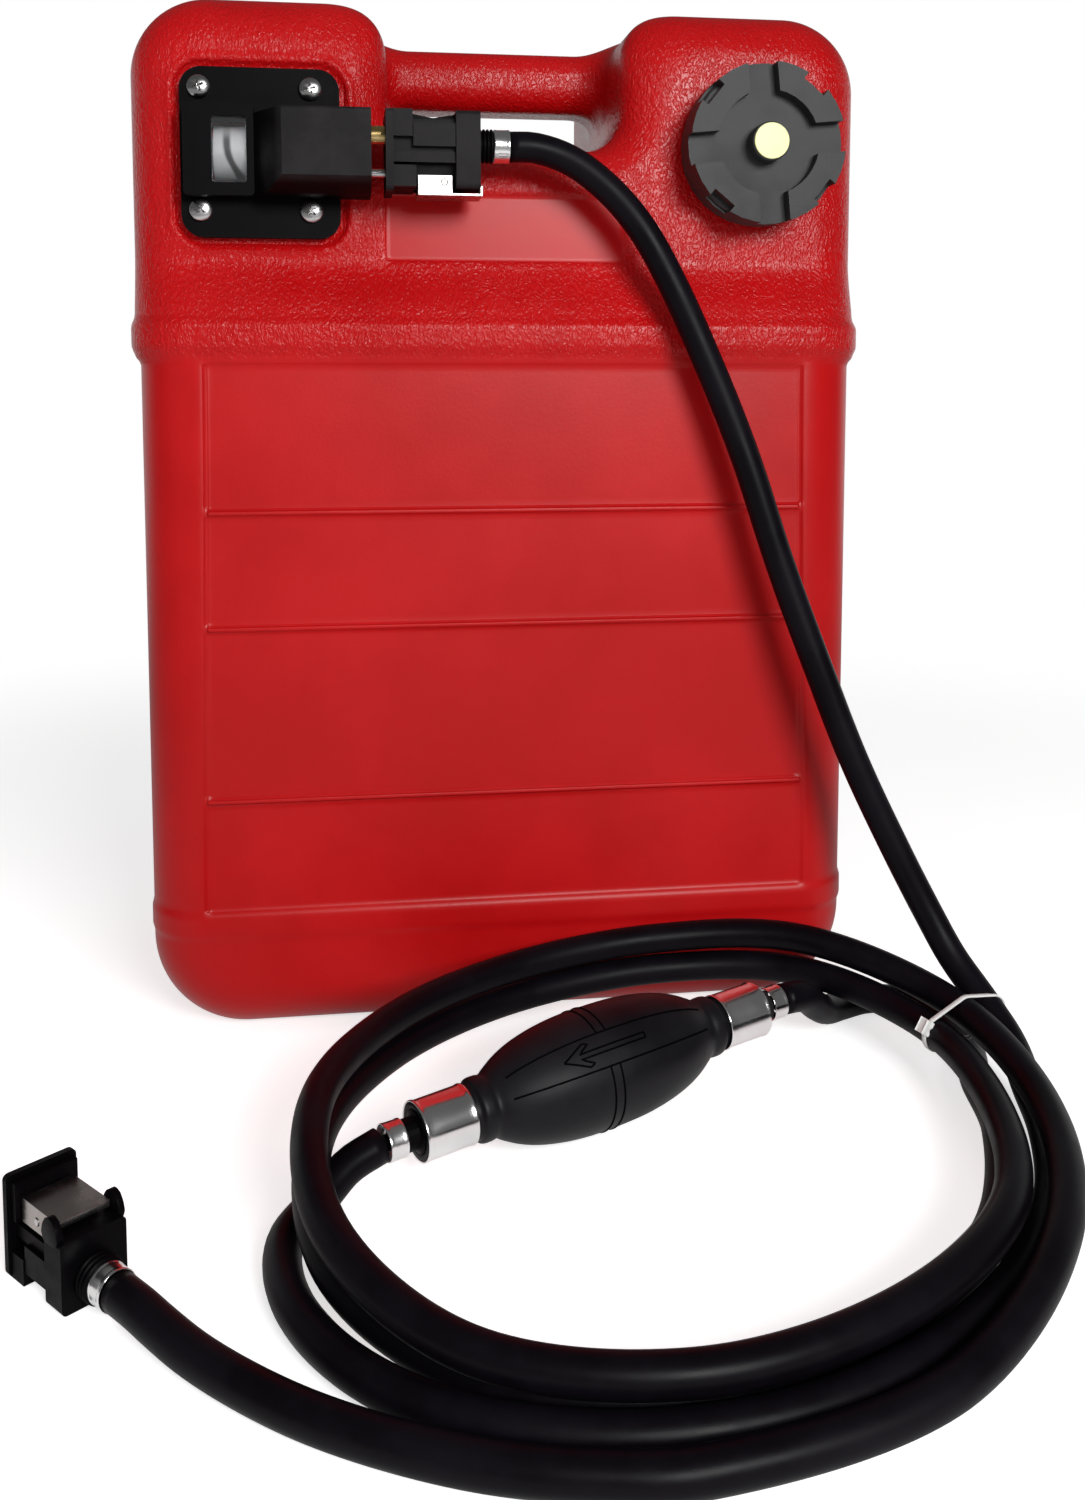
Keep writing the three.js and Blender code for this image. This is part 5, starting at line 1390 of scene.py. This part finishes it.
def prism_mesh(name, outline, low, high, place, bend):
    """An outline of (along, height) carried sideways from low to high, with rounded edges."""
    work = bmesh.new()
    across = np.cross(UP, ENGINE_AXIS)
    sides = []
    for side in (low, high):
        spots = [place + ENGINE_AXIS * a - UP * h + across * side for a, h in outline]
        sides.append([work.verts.new(Vector(spot * MM)) for spot in spots])
    work.faces.new(sides[0])
    work.faces.new(sides[1][::-1])
    count = len(outline)
    for i in range(count):
        n = (i + 1) % count
        work.faces.new([sides[0][i], sides[1][i], sides[1][n], sides[0][n]])
    return rounded_mesh(name, work, bend)


ear_line = [tuple(p) for p in eased(EAR_OUTLINE + EAR_OUTLINE[:1], 4.4)[:-1]]
ears = merged("ears", *(prism_mesh("ear", ear_line, *side, ENGINE_PLUG, 0.3) for side in EAR_SIDES))
settle("plug_engine_ears", ears, PLASTIC, "black_plastic", "tank")

# %% [markdown]
# Three springs are pressed together when their joint moves. Each is a copy of its solid in bright steel; the
# table lists its joint, axis, fixed end and the share it keeps, which the code does not read.

# %% Springs
SPRINGS = {
    "tank_latch_spring": ("tank_latch_press", (0, 0, 1), (-27, -108, 398.44), 0.5),
    "engine_latch_spring": ("engine_latch_press", (0, 0, 1), (-176.9, -276.8, 27.5), 0.42),
    "engine_check_spring": ("engine_check_push", tuple(ENGINE_AXIS), (-173.4, -282.1, 6.3), 0.6),
}
for node, (joint, axis, anchor, keep) in SPRINGS.items():
    source = nodes[node]
    spring = settle(f"{node}_wire", source.data.copy(), STEEL, "bright_steel", source["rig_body"], node)
    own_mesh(spring)
print("springs that shorten:", len(SPRINGS))

# %% [markdown]
# The hoses themselves come last among the black pieces. For the first one, the point at a set height on its
# way up and the point near its plug are found and passed on as its bends; it rides on no body.

# %% Hose pieces
STILL_HEIGHT = 290
PLUG_REACH = 22
still = int(np.argmin(abs(tank_line[:, 2] - STILL_HEIGHT)))
moving = int(np.argmin(abs(tank_line[:, 0] - PLUG_REACH)))
hose(
    "hose_to_bulb", tank_line, ["hose_tank_lead"],
    bends=(still, moving))
hose(
    "hose_to_engine", rest_line,
    ["hose_bulb_lead", "hose_coil", "hose_engine_lead"])

# %% [markdown]
# The light is a large soft source above and to the right of the camera, a weaker one from the left
# and a pale room all round. The floor and backdrop are white to the camera. Reflections see them
# white only low behind the object, and darker in front, which keeps a pale veil off the red.

# %% Lights


def lamp(name, place, target, size, power, mirrored=True):
    data = bpy.data.lights.new(name, "AREA")
    data.shape = "RECTANGLE"
    data.size, data.size_y = size
    data.energy = power
    light = bpy.data.objects.new(name, data)
    light.location = place
    light.visible_glossy = mirrored
    light.rotation_euler = (Vector(target) - Vector(place)).to_track_quat("-Z", "Y").to_euler()
    bpy.context.scene.collection.objects.link(light)
    return light


lamp("key", (0.38, -1.5, 0.74), (0, -0.15, 0.2), (0.55, 0.45), 18.5)
lamp("fill", (-1.3, -1.3, 0.9), (0, -0.1, 0.2), (1.1, 1.0), 6, mirrored=False)
lamp("top", (0.1, -0.6, 1.6), (0, -0.15, 0.1), (0.9, 0.6), 2, mirrored=False)

# %% Backdrop
ROOM_LIGHT = 0.13
ROOM_FRONT = 0.1
CARD_BEHIND = (0.1, 0.6)
CARD_HEIGHT = (0.2, 0.42)
FLOOR_HALF = 4000
FLOOR_DROP = 0.0002
FLOOR_LIFT = 0.66
FLOOR_FADE = (0.45, 1.0)
MIRROR_FADE = (0.1, 2.2)
MIRROR_CUT = 0.7


def ray_kinds(tree, *kinds):
    """One for rays of any of these kinds."""
    path = tree.nodes.new("ShaderNodeLightPath")
    total = path.outputs[kinds[0]]
    for kind in kinds[1:]:
        total = maths(tree, "ADD", total, path.outputs[kind], clamp=True)
    return total


def seen_directly(tree):
    """One for rays from the camera, from glossy surfaces and through glass."""
    return ray_kinds(tree, "Is Camera Ray", "Is Glossy Ray", "Is Transmission Ray")


def room():
    world = bpy.data.worlds.new("room")
    bpy.context.scene.world = world
    world.use_nodes = True
    tree = world.node_tree
    glow = tree.nodes["Background"]
    glow.inputs["Color"].default_value = (1, 1, 1, 1)
    _, y, z = place_axes(tree, "Generated")
    behind = maths(tree, "MULTIPLY", spread(tree, y, *CARD_BEHIND), spread(tree, z, *CARD_HEIGHT, 1.0, 0.0))
    card = maths(tree, "ADD", maths(tree, "MULTIPLY", behind, 1 - ROOM_FRONT), ROOM_FRONT)
    glossy = maths(tree, "MULTIPLY", ray_kinds(tree, "Is Glossy Ray"), card)
    seen = maths(tree, "ADD", ray_kinds(tree, "Is Camera Ray", "Is Transmission Ray"), glossy, clamp=True)
    rest = maths(tree, "MULTIPLY", maths(tree, "SUBTRACT", 1.0, seen_directly(tree)), ROOM_LIGHT)
    tree.links.new(maths(tree, "ADD", seen, rest), glow.inputs["Strength"])


def floor():
    corners = [(x * FLOOR_HALF, y * FLOOR_HALF, 0) for x, y in ((-1, -1), (1, -1), (1, 1), (-1, 1))]
    mesh = mesh_from("floor", corners, [(0, 1, 2, 3)])
    piece = bpy.data.objects.new("floor", mesh)
    bpy.context.scene.collection.objects.link(piece)
    piece.location.z = -FLOOR_DROP
    material, tree, surface = finish(
        "floor", Roughness=0.9, Specular_IOR_Level=0.0, Emission_Color=(1, 1, 1, 1))
    place = add(tree, "ShaderNodeTexCoord").outputs["Object"]
    away = add(tree, "ShaderNodeVectorMath", operation="LENGTH")
    tree.links.new(place, away.inputs[0])
    far = maths(tree, "MULTIPLY", spread(tree, away.outputs["Value"], *FLOOR_FADE), seen_directly(tree))
    tinted(tree, surface, (0.86, 0.86, 0.86), (0, 0, 0), far)
    near_lift = maths(tree, "MULTIPLY", seen_directly(tree), FLOOR_LIFT)
    lift = maths(tree, "MULTIPLY", maths(tree, "SUBTRACT", 1.0, far), near_lift)
    dim = spread(tree, place_axes(tree)[1], *MIRROR_FADE, MIRROR_CUT, 0.0)
    mirrored = maths(tree, "MULTIPLY", ray_kinds(tree, "Is Glossy Ray"), dim)
    glow = maths(tree, "MULTIPLY", maths(tree, "ADD", lift, far), maths(tree, "SUBTRACT", 1.0, mirrored))
    tree.links.new(glow, surface.inputs["Emission Strength"])
    mesh.materials.append(material)


room()
floor()
bpy.context.scene.view_settings.view_transform = "Standard"
